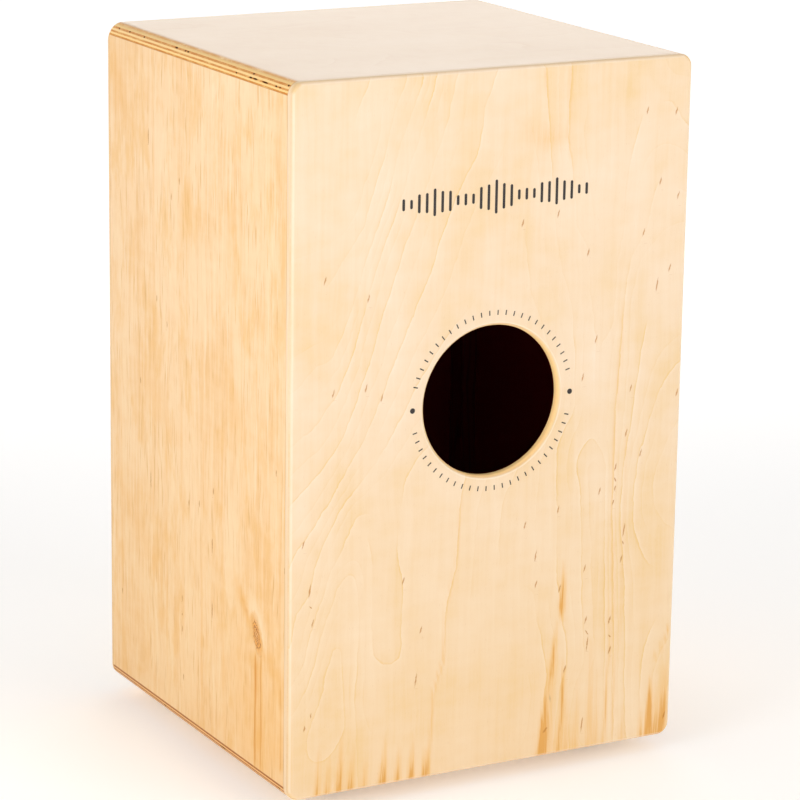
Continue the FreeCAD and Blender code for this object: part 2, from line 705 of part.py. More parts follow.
def pivot_bolt(name, side):
    """A round-headed bolt, its head held between block and side panel."""
    body = new_body(name + "_form")
    radius, shank_end = size.bolt_radius, size.bolt_long
    head, high = size.bolt_head, size.bolt_head_high
    top = shank_end + high
    revolve(body, name, name + "_turned", [
        (0, 0), (radius - size.bolt_tip_inset, 0), (radius, size.bolt_tip_long),
        (radius, shank_end), (head, shank_end), (head, shank_end + high * BOLT_RIM_RATIO),
        (head * BOLT_TOP_RATIO, top), (0, top),
    ])
    return put(body, (IN_RIGHT - top) * side, PIVOT_Y, PIVOT_Z, outward(side))


def washer(name, outer, inner, thick, x, y, z, rotation=None):
    disc = cylinder(name + "_disc", outer, thick, 0, 0, 0)
    hole = cylinder(name + "_hole", inner, thick + 2 * OVERRUN, 0, 0, -OVERRUN)
    return put(cut(name + "_form", disc, hole), x, y, z, rotation)


def pivot_washer(name, side):
    return washer(name, size.washer_radius, size.bolt_radius + size.washer_bore_gap,
                  size.washer_thick, (LEG_IN - size.washer_gap) * side, PIVOT_Y, PIVOT_Z,
                  inward(side))


def wing_nut(name, side):
    """A hub with two thin wings; its own +Z points from the washer to the box's middle."""
    body = new_body(name + "_form")
    bore, hub, high = size.bolt_radius + size.bolt_run, size.nut_hub, size.nut_high
    revolve(body, name + "_hub", name + "_hub", [
        (bore, 0), (hub, 0), (hub, high * HUB_RIM_RATIO), (hub * HUB_TOP_RATIO, high), (bore, high),
    ])
    root = bore + size.wing_root
    outline = [(root, size.wing_root_rise), (hub, size.wing_hub_rise)]
    outline += [(size.wing_reach * across, high * up) for across, up in WING_CORNERS]
    outline += [(hub * WING_HUB_RATIO, high * WING_HUB_HIGH), (root, high * WING_ROOT_HIGH)]
    for k, wing_side in enumerate((1, -1), 1):
        wing_name = "%s_wing_%d" % (name, k)
        wing = polygon(body, "XZ_Plane", wing_name + "_outline",
                       [(x * wing_side, z) for x, z in outline])
        pad(body, wing, wing_name, size.wing_thick, both_sides=True)
    foot_x = LEG_IN - size.washer_gap * 2 - size.washer_thick
    return put(body, foot_x * side, PIVOT_Y, PIVOT_Z, inward(side))


for tag, side in SIDES:
    node("bar_bracket_" + tag, bracket("bracket_" + tag, side))
    node("pivot_block_" + tag, pivot_block("block_" + tag, side))
    node("pivot_bolt_" + tag, pivot_bolt("bolt_" + tag, side))
    node("pivot_washer_" + tag, pivot_washer("washer_" + tag, side))
    node("wing_nut_" + tag, wing_nut("nut_" + tag, side))

# ---------------------------------------------------------------- feet
FOOT_X = RIGHT - size.foot_inset
FOOT_Y = BACK - size.foot_inset
FOOT_SPOTS = {
    "front_left": (-FOOT_X, -FOOT_Y),
    "front_right": (FOOT_X, -FOOT_Y),
    "rear_left": (-FOOT_X, FOOT_Y),
    "rear_right": (FOOT_X, FOOT_Y),
}


def foot(name, x, y):
    """A tapered rubber foot with a screw well open to the floor."""
    body = new_body(name + "_form")
    radius, top, bevel = size.foot_radius, size.foot_height, size.foot_low_bevel
    floor_radius = radius - size.foot_taper
    well, deep = size.foot_well, size.foot_well_deep
    through = size.foot_screw_shank + size.foot_screw_gap
    revolve(body, name, name + "_moulded", [
        (well, 0), (floor_radius - bevel, 0), (floor_radius, bevel),
        (radius, top - size.foot_top_drop), (radius - size.foot_top_inset, top),
        (through, top), (through, deep), (well, deep),
    ])
    return put(body, x, y, 0)


# The washer lies against the roof of the well, the screw head under it
washer_low = size.foot_well_deep - size.foot_washer_thick
foot_screws, foot_washers, foot_pilots = [], [], []
for tag, (x, y) in FOOT_SPOTS.items():
    node("foot_" + tag, foot("foot_" + tag, x, y))
    foot_washers.append(washer("foot_washer_" + tag, size.foot_washer_radius,
                               size.foot_screw_shank + size.shank_gap,
                               size.foot_washer_thick, x, y, washer_low))
    foot_screws.append(copy_of(foot_screw, "foot_screw_" + tag,
                               x, y, washer_low + size.foot_screw_long, TO_FLOOR))
    foot_pilots.append(cylinder("foot_pilot_" + tag, size.foot_screw_shank,
                                size.foot_screw_long - size.foot_washer_thick,
                                x, y, size.foot_well_deep))
node("foot_screws", group("foot_screw_group", foot_screws))
node("foot_washers", group("foot_washer_group", foot_washers))
node("bottom_panel",
     cut("bottom_panel_form", bottom_blank, group("foot_pilot_holes", foot_pilots)))
doc.recompute()

# ---------------------------------------------------------------- checks and export
bad = []
for obj in doc.Objects:
    if "Invalid" in obj.State or "Error" in obj.State:
        bad.append("%s: %s" % (obj.Name, obj.State))
for name, obj in NODES.items():
    shape = obj.Shape
    if shape.isNull() or not shape.isValid() or not shape.Solids:
        bad.append(name + ": bad shape")
if bad:
    raise RuntimeError("; ".join(bad))

os.makedirs("parts", exist_ok=True)
for name, obj in sorted(NODES.items()):
    obj.Shape.exportStep("parts/%s.step" % name)
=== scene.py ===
"""Looks for the cajon: a plywood box drum seen from its sound-hole side.

Lengths are millimetres unless a comment says otherwise; meshes are turned into metres when built.
+Z up, -Y the playing plate, +Y the rear panel with the sound hole, origin on the floor under
the middle.
"""

import json
import math

import bmesh
import bpy
import numpy as np
from mathutils import Matrix, Vector

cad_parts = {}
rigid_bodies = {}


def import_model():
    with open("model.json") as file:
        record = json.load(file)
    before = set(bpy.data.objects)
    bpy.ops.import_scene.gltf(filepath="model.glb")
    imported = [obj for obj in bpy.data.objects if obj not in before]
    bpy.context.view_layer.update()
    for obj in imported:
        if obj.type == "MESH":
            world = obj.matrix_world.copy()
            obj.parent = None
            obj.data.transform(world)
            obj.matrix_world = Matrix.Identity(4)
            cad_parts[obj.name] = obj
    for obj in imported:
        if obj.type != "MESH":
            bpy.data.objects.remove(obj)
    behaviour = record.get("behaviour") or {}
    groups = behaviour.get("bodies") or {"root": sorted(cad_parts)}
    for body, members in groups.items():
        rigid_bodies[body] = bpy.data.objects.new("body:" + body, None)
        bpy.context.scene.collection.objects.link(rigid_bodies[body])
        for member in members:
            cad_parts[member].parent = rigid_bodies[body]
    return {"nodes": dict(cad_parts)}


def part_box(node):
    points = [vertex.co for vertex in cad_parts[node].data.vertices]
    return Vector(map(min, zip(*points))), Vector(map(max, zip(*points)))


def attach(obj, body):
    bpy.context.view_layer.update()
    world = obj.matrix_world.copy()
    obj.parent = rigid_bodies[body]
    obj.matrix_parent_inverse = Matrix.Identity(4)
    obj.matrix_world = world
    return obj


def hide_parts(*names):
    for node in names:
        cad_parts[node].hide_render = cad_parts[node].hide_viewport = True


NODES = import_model()["nodes"]
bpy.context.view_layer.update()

# ------------------------------------------------------------------ sizes


def box_mm(node):
    low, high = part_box(node)
    return [c * 1000.0 for c in low], [c * 1000.0 for c in high]


# faces of the CAD boards
REAR_IN, REAR_OUT = (corner[1] for corner in box_mm("rear_panel"))
PLATE_OUT, PLATE_IN = (corner[1] for corner in box_mm("front_plate"))
TOP_IN = box_mm("top_panel")[0][2]
BOTTOM_IN = box_mm("bottom_panel")[1][2]
SIDE_IN = min(abs(corner[0]) for corner in box_mm("side_panel_right"))

# nominal outer skin and its rounded edges
HALF_WIDTH, HALF_DEPTH = 152.0, 145.0
TOP_Z, BOTTOM_Z = 500.0, 12.0
CORNER = 9.0  # the four long edges, and the thickness of top, bottom and sides
REAR_ROUND, PLATE_ROUND, TOP_EDGE_ROUND = 3.0, 1.2, 8.0
REAR_START = HALF_DEPTH - REAR_ROUND
PLATE_START = -(HALF_DEPTH - PLATE_ROUND)
TOP_EDGE_START = -(HALF_DEPTH - TOP_EDGE_ROUND)

HOLE_X, HOLE_Z, HOLE_RADIUS = 0.0, 274.0, 52.0
HOLE_IN_ROUND = 1.0  # round of the hole's inner rim; the outer rim takes REAR_ROUND
PRINT_DEPTH = (REAR_OUT - 0.02, REAR_OUT + 0.05)

# ------------------------------------------------------------------ mesh helpers


def new_object(name, shape, materials, smooth=32.0, weighted=True):
    """An object from a closed bmesh held in millimetres; smooth is the sharp-edge angle."""
    bmesh.ops.recalc_face_normals(shape, faces=shape.faces)
    for vert in shape.verts:
        vert.co *= 0.001
    mesh = bpy.data.meshes.new(name)
    shape.to_mesh(mesh)
    shape.free()
    piece = bpy.data.objects.new(name, mesh)
    bpy.context.scene.collection.objects.link(piece)
    for material in materials:
        mesh.materials.append(material)
    mesh.shade_smooth()
    mesh.set_sharp_from_angle(angle=math.radians(smooth))
    if weighted:
        normals = piece.modifiers.new("even_normals", "WEIGHTED_NORMAL")
        normals.keep_sharp = True
        normals.weight = 60
    return piece


def place(piece, node, slot):
    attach(piece, "box")
    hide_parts(node)


def outline(side_inset, top_inset, steps=14):
    """Rounded rectangle in X and Z; the underside is drawn in as far as the sides."""
    radius = max(CORNER - side_inset, 1.0)
    across = HALF_WIDTH - side_inset - radius
    high, low = TOP_Z - top_inset - radius, BOTTOM_Z + side_inset + radius
    points = []
    for x, z, start in (
        (across, high, 0.0),
        (-across, high, 90.0),
        (-across, low, 180.0),
        (across, low, 270.0),
    ):
        for k in range(steps + 1):
            angle = math.radians(start + 90.0 * k / steps)
            points.append((x + radius * math.cos(angle), z + radius * math.sin(angle)))
    return points


def round_stations(start, radius, steps, count):
    """Y values along a quarter round; a negative radius runs towards the plate."""
    return [start + radius * math.sin(math.radians(90.0 * k / steps)) for k in range(count)]


def round_inset(y, start, radius):
    return radius - math.sqrt(max(radius**2 - (y - start) ** 2, 0.0))


def skin(rings):
    """Faces joining closed rings of equal count, in order."""
    for ring, following in zip(rings, rings[1:]):
        for k in range(len(ring)):
            after = (k + 1) % len(ring)
            yield ring[k], ring[after], following[after], following[k]


def envelope():
    """The drum's whole outer solid with every edge rounded."""
    stations = round_stations(REAR_START, REAR_ROUND, 10, 11)
    stations += round_stations(TOP_EDGE_START, -TOP_EDGE_ROUND, 14, 15)
    stations += round_stations(PLATE_START, -PLATE_ROUND, 6, 6)
    shape = bmesh.new()
    rings = []
    for y in sorted(set(round(y, 5) for y in stations)):
        side_inset = top_inset = 0.0
        if y > REAR_START:
            side_inset = top_inset = round_inset(y, REAR_START, REAR_ROUND)
        if y < TOP_EDGE_START:
            top_inset = round_inset(y, TOP_EDGE_START, TOP_EDGE_ROUND)
        if y < PLATE_START:
            side_inset = round_inset(y, PLATE_START, PLATE_ROUND)
        rings.append([shape.verts.new((x, y, z)) for x, z in outline(side_inset, top_inset)])
    for corners in skin(rings):
        shape.faces.new(corners)
    shape.faces.new(rings[0])
    shape.faces.new(list(reversed(rings[-1])))
    bmesh.ops.remove_doubles(shape, verts=shape.verts, dist=1e-4)
    bmesh.ops.recalc_face_normals(shape, faces=shape.faces)
    return shape


def slice_at(shape, axis, value, sign=1.0, clear=False):
    point, normal = [0.0] * 3, [0.0] * 3
    point[axis], normal[axis] = float(value), sign
    bmesh.ops.bisect_plane(
        shape,
        geom=shape.verts[:] + shape.edges[:] + shape.faces[:],
        dist=1e-5,
        plane_co=point,
        plane_no=normal,
        clear_outer=clear,
    )


def keep(shape, axis, low=None, high=None):
    """Cuts the solid to low..high along an axis and closes the cuts."""
    for value, sign in ((low, -1.0), (high, 1.0)):
        if value is None:
            continue
        slice_at(shape, axis, value, sign, clear=True)
        edges = [edge for edge in shape.edges if len(edge.link_faces) == 1]
        if edges:
            bmesh.ops.triangle_fill(shape, edges=edges, use_beauty=True)


def grid(shape, axis, values):
    """Cut lines across the solid without taking anything away."""
    for value in values:
        slice_at(shape, axis, value)


def tidy(shape):
    """Joins the fill triangles of flat caps back into plain faces."""
    bmesh.ops.dissolve_limit(
        shape,
        angle_limit=math.radians(0.05),
        verts=shape.verts[:],
        edges=shape.edges[:],
        delimit={"MATERIAL"},
    )


def lathe_y(shape, x, z, profile, segments):
    """Adds a solid turned about an axis parallel to Y. profile: (y, radius) end to end."""
    rings = []
    for y, radius in profile:
        ring = []
        for k in range(segments):
            angle = 2 * math.pi * k / segments
            at = (x + radius * math.cos(angle), y, z + radius * math.sin(angle))
            ring.append(shape.verts.new(at))
        rings.append(ring)
    for first, first_next, second_next, second in skin(rings):
        shape.faces.new((first, second, second_next, first_next))
    shape.faces.new(list(reversed(rings[0])))
    shape.faces.new(rings[-1])


def cut(shape, cutter):
    """shape minus cutter, both closed; frees them and returns a new bmesh in the same units."""
    bmesh.ops.recalc_face_normals(cutter, faces=cutter.faces)
    bmesh.ops.recalc_face_normals(shape, faces=shape.faces)
    stand_in = bpy.data.materials.get("tmp_slot") or bpy.data.materials.new("tmp_slot")
    solids = []
    for source in (shape, cutter):
        mesh = bpy.data.meshes.new("tmp")
        source.to_mesh(mesh)
        source.free()
        for _ in range(2):
            mesh.materials.append(stand_in)
        solid = bpy.data.objects.new("tmp", mesh)
        bpy.context.scene.collection.objects.link(solid)
        solids.append(solid)
    boolean = solids[0].modifiers.new("cut", "BOOLEAN")
    boolean.operation, boolean.object, boolean.solver = "DIFFERENCE", solids[1], "EXACT"
    boolean.material_mode = "INDEX"
    evaluated = solids[0].evaluated_get(bpy.context.evaluated_depsgraph_get())
    result = bmesh.new()
    result.from_mesh(evaluated.to_mesh())
    evaluated.to_mesh_clear()
    for solid in solids:
        mesh = solid.data
        bpy.data.objects.remove(solid)
        bpy.data.meshes.remove(mesh)
    return result


def split_y(solid, bounds):
    """One closed piece of the solid for each (low, high) range of Y; frees the solid."""
    mesh = bpy.data.meshes.new("solid")
    solid.to_mesh(mesh)
    solid.free()
    pieces = []
    for low, high in bounds:
        piece = bmesh.new()
        piece.from_mesh(mesh)
        keep(piece, 1, low, high)
        tidy(piece)
        pieces.append(piece)
    bpy.data.meshes.remove(mesh)
    return pieces


def put_attribute(piece, name, values, kind="FLOAT"):
    attribute = piece.data.attributes.new(name, kind, "POINT")
    values = np.asarray(values, np.float32)
    attribute.data.foreach_set("value" if kind == "FLOAT" else "vector", values.ravel())


def coords_mm(piece, axes):
    coords = np.empty(len(piece.data.vertices) * 3, np.float32)
    piece.data.vertices.foreach_get("co", coords)
    return (coords.reshape(-1, 3).astype(float) * 1000.0)[:, axes]


# ------------------------------------------------------------------ figure of the rear face

# growth ring number and the (x, z) points its line runs through
REAR_RINGS = [
    (2, [(147.061, 432.826), (134.219, 430.850), (129.279, 440.729), (120.389, 446.656),
         (112.486, 452.583), (109.522, 464.437), (104.583, 480.243), (96.680, 496.049)]),
    (4, [(147.061, 356.761), (137.182, 359.725), (127.304, 363.676), (112.486, 383.433),
         (98.656, 403.190), (92.729, 422.947), (82.850, 452.583), (77.911, 476.291),
         (70.008, 494.073)]),
    (6, [(147.061, 298.478), (132.243, 312.308), (122.364, 316.259), (114.462, 330.089),
         (106.559, 349.846), (98.656, 373.555), (90.753, 397.263), (80.874, 420.972),
         (74.947, 448.632), (65.069, 474.316), (57.166, 494.073)]),
    (8, [(147.061, 262.915), (134.219, 270.818), (118.413, 290.575), (108.534, 310.332),
         (100.632, 336.016), (86.802, 381.457), (72.972, 415.045), (65.069, 440.729),
         (53.215, 474.316), (47.287, 496.049)]),
    (10, [(112.486, 262.915), (94.704, 306.381), (86.802, 332.065), (76.923, 361.700),
          (67.045, 389.360), (57.166, 413.069), (47.287, 440.729), (37.409, 470.364),
          (31.482, 496.049)]),
    (12, [(13.700, 446.656), (9.749, 474.316), (1.846, 496.049)]),
    (12, [(-35.692, 496.049), (-38.656, 466.413), (-42.607, 430.850), (-45.571, 401.215),
          (-47.547, 381.457), (-53.474, 357.749), (-60.389, 336.016), (-64.340, 302.429),
          (-65.328, 262.915)]),
    (10, [(-55.449, 496.049), (-54.462, 450.607), (-57.425, 430.850), (-63.352, 389.360),
          (-73.231, 369.603), (-75.206, 345.895), (-80.146, 312.308), (-82.121, 262.915)]),
    (14, [(9.749, 349.846), (6.785, 361.700), (1.846, 381.457), (-6.057, 392.324),
          (-15.935, 398.251), (-20.874, 393.312), (-24.826, 371.579), (-28.777, 345.895)]),
    (12, [(-98.915, 256.988), (-100.891, 292.551), (-102.866, 332.065), (-106.818, 361.700),
          (-118.672, 381.457), (-124.599, 407.142), (-131.514, 420.972), (-138.429, 413.069),
          (-148.308, 405.166)]),
    (14, [(-128.551, 322.186), (-132.502, 343.919), (-138.429, 357.749), (-145.344, 345.895),
          (-150.283, 330.089)]),
    (10, [(-113.733, 488.146), (-118.672, 474.316), (-124.599, 469.377), (-136.453, 467.401),
          (-144.356, 456.534), (-149.296, 450.607)]),
    (10, [(147.061, 224.389), (134.219, 236.243), (120.389, 250.073)]),
    (12, [(147.061, 186.850), (134.219, 202.656), (122.364, 218.462), (106.559, 244.146)]),
    (14, [(147.061, 141.409), (137.182, 157.215)]),
    (16, [(142.121, 105.846), (132.243, 137.457), (122.364, 167.093), (109.522, 190.802),
          (101.619, 206.607), (93.717, 194.753), (89.765, 167.093), (89.765, 129.555),
          (88.777, 109.798), (82.850, 101.895), (72.972, 98.931), (67.045, 103.870),
          (66.057, 155.239), (70.996, 176.972), (70.008, 200.680), (65.069, 226.364)]),
    (18, [(134.219, 101.895), (130.267, 113.749), (124.340, 137.457), (116.437, 155.239),
          (107.547, 166.105), (101.619, 159.190), (99.051, 137.457), (100.236, 105.846),
          (102.607, 78.186), (99.644, 38.672), (98.656, 16.939)]),
    (20, [(128.291, 78.186), (123.352, 101.895), (118.413, 114.737), (112.486, 109.798),
          (110.510, 84.113), (109.522, 58.429)]),
    (16, [(22.591, 210.559), (25.555, 161.166), (33.457, 129.555), (33.457, 97.943),
          (41.360, 72.259), (44.324, 18.915)]),
    (14, [(-10.008, 202.656), (-8.032, 176.972), (-9.020, 147.336), (-11.984, 127.579),
          (-17.911, 132.518), (-25.814, 137.457), (-33.717, 136.470), (-36.680, 131.530),
          (-38.656, 117.700), (-44.583, 93.992), (-48.534, 72.259), (-45.571, 38.672),
          (-42.607, 18.915)]),
    (12, [(-51.498, 232.291), (-53.474, 190.802), (-54.462, 145.360), (-58.413, 117.700)]),
    (10, [(-71.255, 204.632), (-74.219, 167.093), (-75.206, 127.579), (-79.158, 78.186)]),
    (12, [(-98.915, 256.0), (-98.520, 176.972), (-102.866, 97.943), (-104.842, 18.915)]),
    (16, [(-136.453, 138.445), (-140.010, 127.579), (-140.405, 113.749), (-136.453, 96.955),
          (-132.502, 109.798), (-132.897, 127.579), (-136.453, 138.445)]),
    (17, [(38.397, 214.510), (43.336, 176.972), (49.263, 145.360), (52.227, 117.700),
          (55.190, 88.065), (58.154, 58.429), (61.117, 18.915)]),
    (17, [(76.923, 68.308), (76.923, 18.915)]),
    (15, [(9.749, 196.729), (13.700, 137.457), (13.700, 78.186), (15.676, 18.915)]),
    (9, [(-89.036, 480.243), (-88.049, 401.215), (-90.024, 322.186)]),
    (9, [(-88.049, 216.486), (-89.036, 117.700), (-92.0, 18.915)]),
    (9, [(-134.478, 488.146), (-148.308, 484.194)]),
]
# tan and brown mineral streaks, each a run of (x, z, half width, strength)
REAR_STREAKS = [
    [(-60.4, 152, 1, .15), (-60.2, 133.5, 2.3, .55), (-59.5, 119.1, 2.4, .75), (-59, 107, .8, .2)],
    [(-56.6, 110, 1, .15), (-54, 87.8, 2.8, .34), (-51.7, 67.7, 3.6, .42), (-50.7, 44.2, 4.2, .44),
     (-48.6, 10, 5.2, .48)],
    [(-47.9, 60, 1.2, .1), (-46.9, 36, 2.2, .75), (-45.4, 10, 3, .85)],
    [(-54.9, 100, .9, .25), (-53, 70, 1.1, .35)],
    [(-62.8, 78, 1, .3), (-61.7, 58.7, 1.5, .6), (-62.2, 42.4, 1.9, .5), (-59.4, 10, 3, .6)],
    [(-66.5, 60, 1.4, .05), (-66, 10, 3, .4)],
    [(-98.4, 125, .8, .1), (-99.4, 82.4, .9, .42), (-98.5, 60.3, 1, .36), (-96.8, 10, 1.2, .5)],
    [(-84.6, 90, 1, .1), (-84.7, 55.1, 2.2, .26), (-84.3, 10, 3, .36)],
    [(-90.5, 70, 1.8, .05), (-90, 10, 3.4, .3)],
    [(-74, 60, 1.6, .05), (-73, 10, 3.2, .34)],
    [(-134.3, 58, 1.4, .2), (-134.5, 33.8, 2.6, .85), (-133.9, 10, 3.6, .7)],
    [(-127.4, 36, 1.2, .1), (-127.2, 10, 2.2, .6)],
    [(-146.6, 60, 3, .2), (-146.3, 31.9, 4.4, .6), (-144.3, 10, 4.8, .6)],
    [(-149, 92, .8, .4), (-142, 76, 1, .4), (-134.2, 69, .7, .2)],
    [(-140, 50, 2.2, .1), (-139, 10, 3.6, .4)],
    [(-113, 40, 1.6, .05), (-112, 10, 3, .3)],
    [(22.591, 210.559, 1.1, .15), (25.555, 161.166, 1.1, .22), (33.457, 129.555, 1.1, .2),
     (33.457, 97.943, 1.1, .32), (41.360, 72.259, 1.1, .32), (44.324, 13.976, 1.1, .4)],
    [(128.687, 46.575, 1.4, .15), (129.872, 13.976, 2.2, .63)],
    [(120.389, 38.672, 1.2, .1), (122.364, 13.976, 2.4, .59)],
    [(111.498, 54.478, 1.4, .1), (113.276, 13.976, 2.8, .73)],
    [(102.607, 42.623, 1.2, .1), (104.583, 13.976, 2.8, .63)],
    [(92.729, 34.721, 1.2, .1), (94.309, 13.976, 2.4, .5)],
    [(77.911, 46.575, 1.4, .1), (79.689, 13.976, 3.2, .73)],
    [(67.045, 38.672, 1.2, .1), (68.230, 13.976, 2.6, .56)],
    [(56.178, 42.623, 1.4, .1), (57.561, 13.976, 2.8, .67)],
    [(46.300, 34.721, 1.2, .1), (47.287, 13.976, 2.6, .67)],
    [(-97.927, 256, 1.1, .16), (-98.520, 176.972, 1.1, .2), (-102.866, 97.943, 1.1, .2),
     (-104.842, 18.915, 1.1, .2)],
    [(-108.398, 244.146, .9, .12), (-108.794, 157.215, .9, .18), (-107.213, 78.186, .9, .12)],
    [(-102.866, 332.065, 1.1, .1), (-100.891, 292.551, 1.1, .2), (-98.915, 256.988, 1.1, .18)],
    [(-35.692, 496.049, 1.3, .3), (-38.656, 466.413, 1, .1)],
    [(-55.449, 496.049, 1.3, .34), (-54.462, 450.607, 1.2, .2), (-57.425, 430.850, .8, .1)],
    [(-25.814, 453.571, 7, .16), (-37.668, 450.607, 9, .24), (-51.498, 452.583, 6, .14)],
]
# dark cracks, columns as for the streaks
REAR_FISSURES = [
    [(-48.7, 73.0, 0.35, 0.5), (-51.3, 64.5, 0.5, 1.0)],
    [(-51.3, 64.5, 0.5, 1.0), (-51.0, 58.9, 0.55, 1.0), (-52.1, 51.5, 0.35, 0.5)],
]
# small dark flecks: half width, half height, strength and the (x, z) centres
REAR_FLECKS = [
    (0.62, 2.9, 0.7, [
        (127.3036, 368.6154), (95.0996, 353.7976), (120.3887, 292.5506), (96.0874, 293.5385),
        (84.2332, 285.6356), (-20.8745, 394.2996), (-48.5344, 398.2510), (-72.8356, 369.6032),
        (-116.6964, 463.4494), (-140.0097, 461.4737), (-128.9457, 414.0567),
        (-143.7636, 403.1903), (-116.6964, 379.4818), (-138.8243, 352.8097),
        (-71.2551, 282.6721), (-110.3741, 270.8178), (-148.3077, 263.5077),
        (-81.1336, 308.3563)]),
    (0.6, 5.0, 0.6, [(-128.9457, 341.9433)]),
    (0.62, 2.9, 0.7, [
        (141.7263, 191.7895), (134.2186, 136.4696), (135.6016, 70.2834), (139.7506, 63.3684),
        (66.0567, 156.2267), (51.8316, 119.6761), (-38.2607, 139.4332), (-28.1846, 182.8988),
        (-47.1514, 98.5360), (-54.4615, 190.8016), (-77.1822, 145.3603), (-98.9150, 190.8016),
        (-99.9028, 199.6923), (-99.9028, 215.4980), (-107.8057, 239.2065),
        (-107.0154, 148.3239), (-120.0551, 223.4008), (-87.4559, 199.6923),
        (-57.4251, 133.5061)]),
    (0.7, 3.0, 0.8, [(-79.3, 107.5), (-98.9, 104.6), (-99.7, 82.4), (-63.3, 73.9), (-147.1, 26.5)]),
    (1.1, 2.0, 0.9, [(-46.7, 99.1), (-48.7, 31.3)]),
    (0.55, 6.0, 0.8, [(-81.1, 89.6), (-78.6, 30.8)]),
    (0.6, 5.0, 0.65, [
        (136.5895, 159.1903), (55.1903, 84.1134), (-37.2729, 159.1903), (-108.3984, 169.0688)]),
]

# ------------------------------------------------------------------ figure of the +X side

KNOT_Y, KNOT_Z = 97.3, 115.5
# runs of (y, z, half width, strength)
SIDE_STREAKS = [
    [(95.2, 103, 1.3, .85), (95.4, 87.7, 1.5, .98), (94.9, 60, 1.6, .85), (95.3, 22, 1.5, .75)],
    [(104, 104, 1.3, .6), (103.9, 79.2, 1.6, .7), (103.8, 22, 1.3, .45)],
    [(62, 152, 3, .12), (70, 140, 5, .45), (81, 130, 5.6, .56), (90, 121, 5, .5)],
    [(104, 110, 4.5, .45), (114, 104, 7, .38), (126, 98, 9, .34), (137, 92, 8, .32)],
    [(97, 92, 8, .34), (100, 70, 12, .34), (104, 30, 16, .3)],
    [(70, 110, 12, .16), (72, 80, 14, .2), (78, 40, 16, .22)],
    [(122, 80, 10, .28), (124, 40, 13, .3)],
    [(133.5, 90, 1.3, .4), (134, 30, 1.6, .6)],
    [(-133.903, 473.723, 10, .35), (-122.642, 447.446, 14, .3), (-113.257, 424.923, 6, 0)],
    [(-68.211, 500, 1.4, .25), (-66.334, 349.846, 1.4, .16), (-70.088, 199.692, 1.4, .25),
     (-68.211, 15.754, 1.4, .2)],
    [(-100.119, 500, 1.2, .22), (-103.122, 387.385, 1.2, .2), (-99.368, 237.231, 1.2, 0)],
    [(-21.288, 424.923, 1.4, 0), (-23.165, 274.769, 1.4, .24), (-19.036, 87.077, 1.4, .16)],
    [(10.620, 387.385, 1.3, 0), (12.497, 214.708, 1.3, .24), (9.494, 30.769, 1.3, .26)],
    [(44.404, 312.308, 1.3, 0), (42.528, 162.154, 1.3, .26), (48.158, 15.754, 1.3, .26)],
    [(70.681, 462.462, 1.2, .14), (72.558, 312.308, 1.2, .18), (68.804, 162.154, 1.2, 0)],
    [(-46.814, 289.785, 1.4, 0), (-48.316, 162.154, 1.4, .24), (-45.312, 15.754, 1.4, .3)],
    [(-123.392, 312.308, 1.6, .05), (-125.645, 162.154, 1.6, .24), (-122.642, 15.754, 1.6, .24)],
    [(50.035, 289.785, 9, .1), (65.051, 259.754, 12, .2), (80.066, 237.231, 8, .1)],
    [(-88.857, 259.754, 9, .1), (-62.580, 237.231, 12, .22), (-32.549, 222.215, 8, .1)],
    [(-122.642, 162.154, 9, .1), (-96.365, 139.631, 12, .2), (-66.334, 120.862, 8, .1)],
]
# half width, half height, strength and the (y, z) centres
SIDE_FLECKS = [
    (0.7, 2.6, 0.8, [
        (-38.1802, 393.0154), (-25.0417, 406.1538), (-62.5802, 316.0615), (-45.6879, 301.0462),
        (-90.7340, 250.3692), (-10.0263, 180.9231), (6.8660, 184.6769), (29.3890, 199.6923),
        (-21.2879, 107.7231), (-21.2879, 85.2), (-19.4110, 49.5385), (-124.5186, 83.3231),
        (125.1121, 237.2308), (140.1275, 222.2154), (138.2506, 173.4154)]),
    (0.8, 6.5, 0.8, [
        (-75.7186, 428.6769), (-73.8417, 180.9231), (27.5121, 160.2769), (27.5121, 113.3538)]),
]

# ------------------------------------------------------------------ figure fields


def thin_plate(points, values, slack):
    """A smooth surface through scattered values: thin-plate spline, points scaled by 1/100."""
    points, values = np.asarray(points, float) / 100.0, np.asarray(values, float)
    count = len(points)

    def kernel(places):
        squared = ((places[:, None] - points[None]) ** 2).sum(-1)
        return 0.5 * squared * np.log(squared + 1e-9)

    system = np.zeros((count + 3, count + 3))
    system[:count, :count] = kernel(points) + np.eye(count) * slack * 1e-4
    system[:count, count] = system[count, :count] = 1.0
    system[:count, count + 1 :] = points
    system[count + 1 :, :count] = points.T
    weights = np.linalg.solve(system, np.concatenate([values, np.zeros(3)]))

    def field(places, batch=4000):
        places = np.asarray(places, float) / 100.0
        result = np.empty(len(places))
        for start in range(0, len(places), batch):
            part = places[start : start + batch]
            plane = weights[count] + part @ weights[count + 1 :]
            result[start : start + batch] = kernel(part) @ weights[:count] + plane
        return result

    return field


def resample(line, step):
    line = [np.asarray(point, float) for point in line]
    result = [line[0]]
    for start, end in zip(line, line[1:]):
        count = max(1, int(round(np.linalg.norm(end - start) / step)))
        result += [start + (end - start) * k / count for k in range(1, count + 1)]
    return result


def streak_field(places, streaks):
    result = np.zeros(len(places))
    for stations in np.array([np.array(run, float) for run in streaks], dtype=object):
        stations = np.asarray(stations, float)
        best = np.zeros(len(places))
        for start, end in zip(stations, stations[1:]):
            path = end[:2] - start[:2]
            share = np.clip(((places - start[:2]) @ path) / (path @ path), 0, 1)
            off = np.linalg.norm(places - (start[:2] + share[:, None] * path), axis=1)
            width = start[2] + (end[2] - start[2]) * share
            strength = start[3] + (end[3] - start[3]) * share
            best = np.maximum(best, strength * np.exp(-((off / width) ** 2)))
        result = 1 - (1 - result) * (1 - best)
    return result


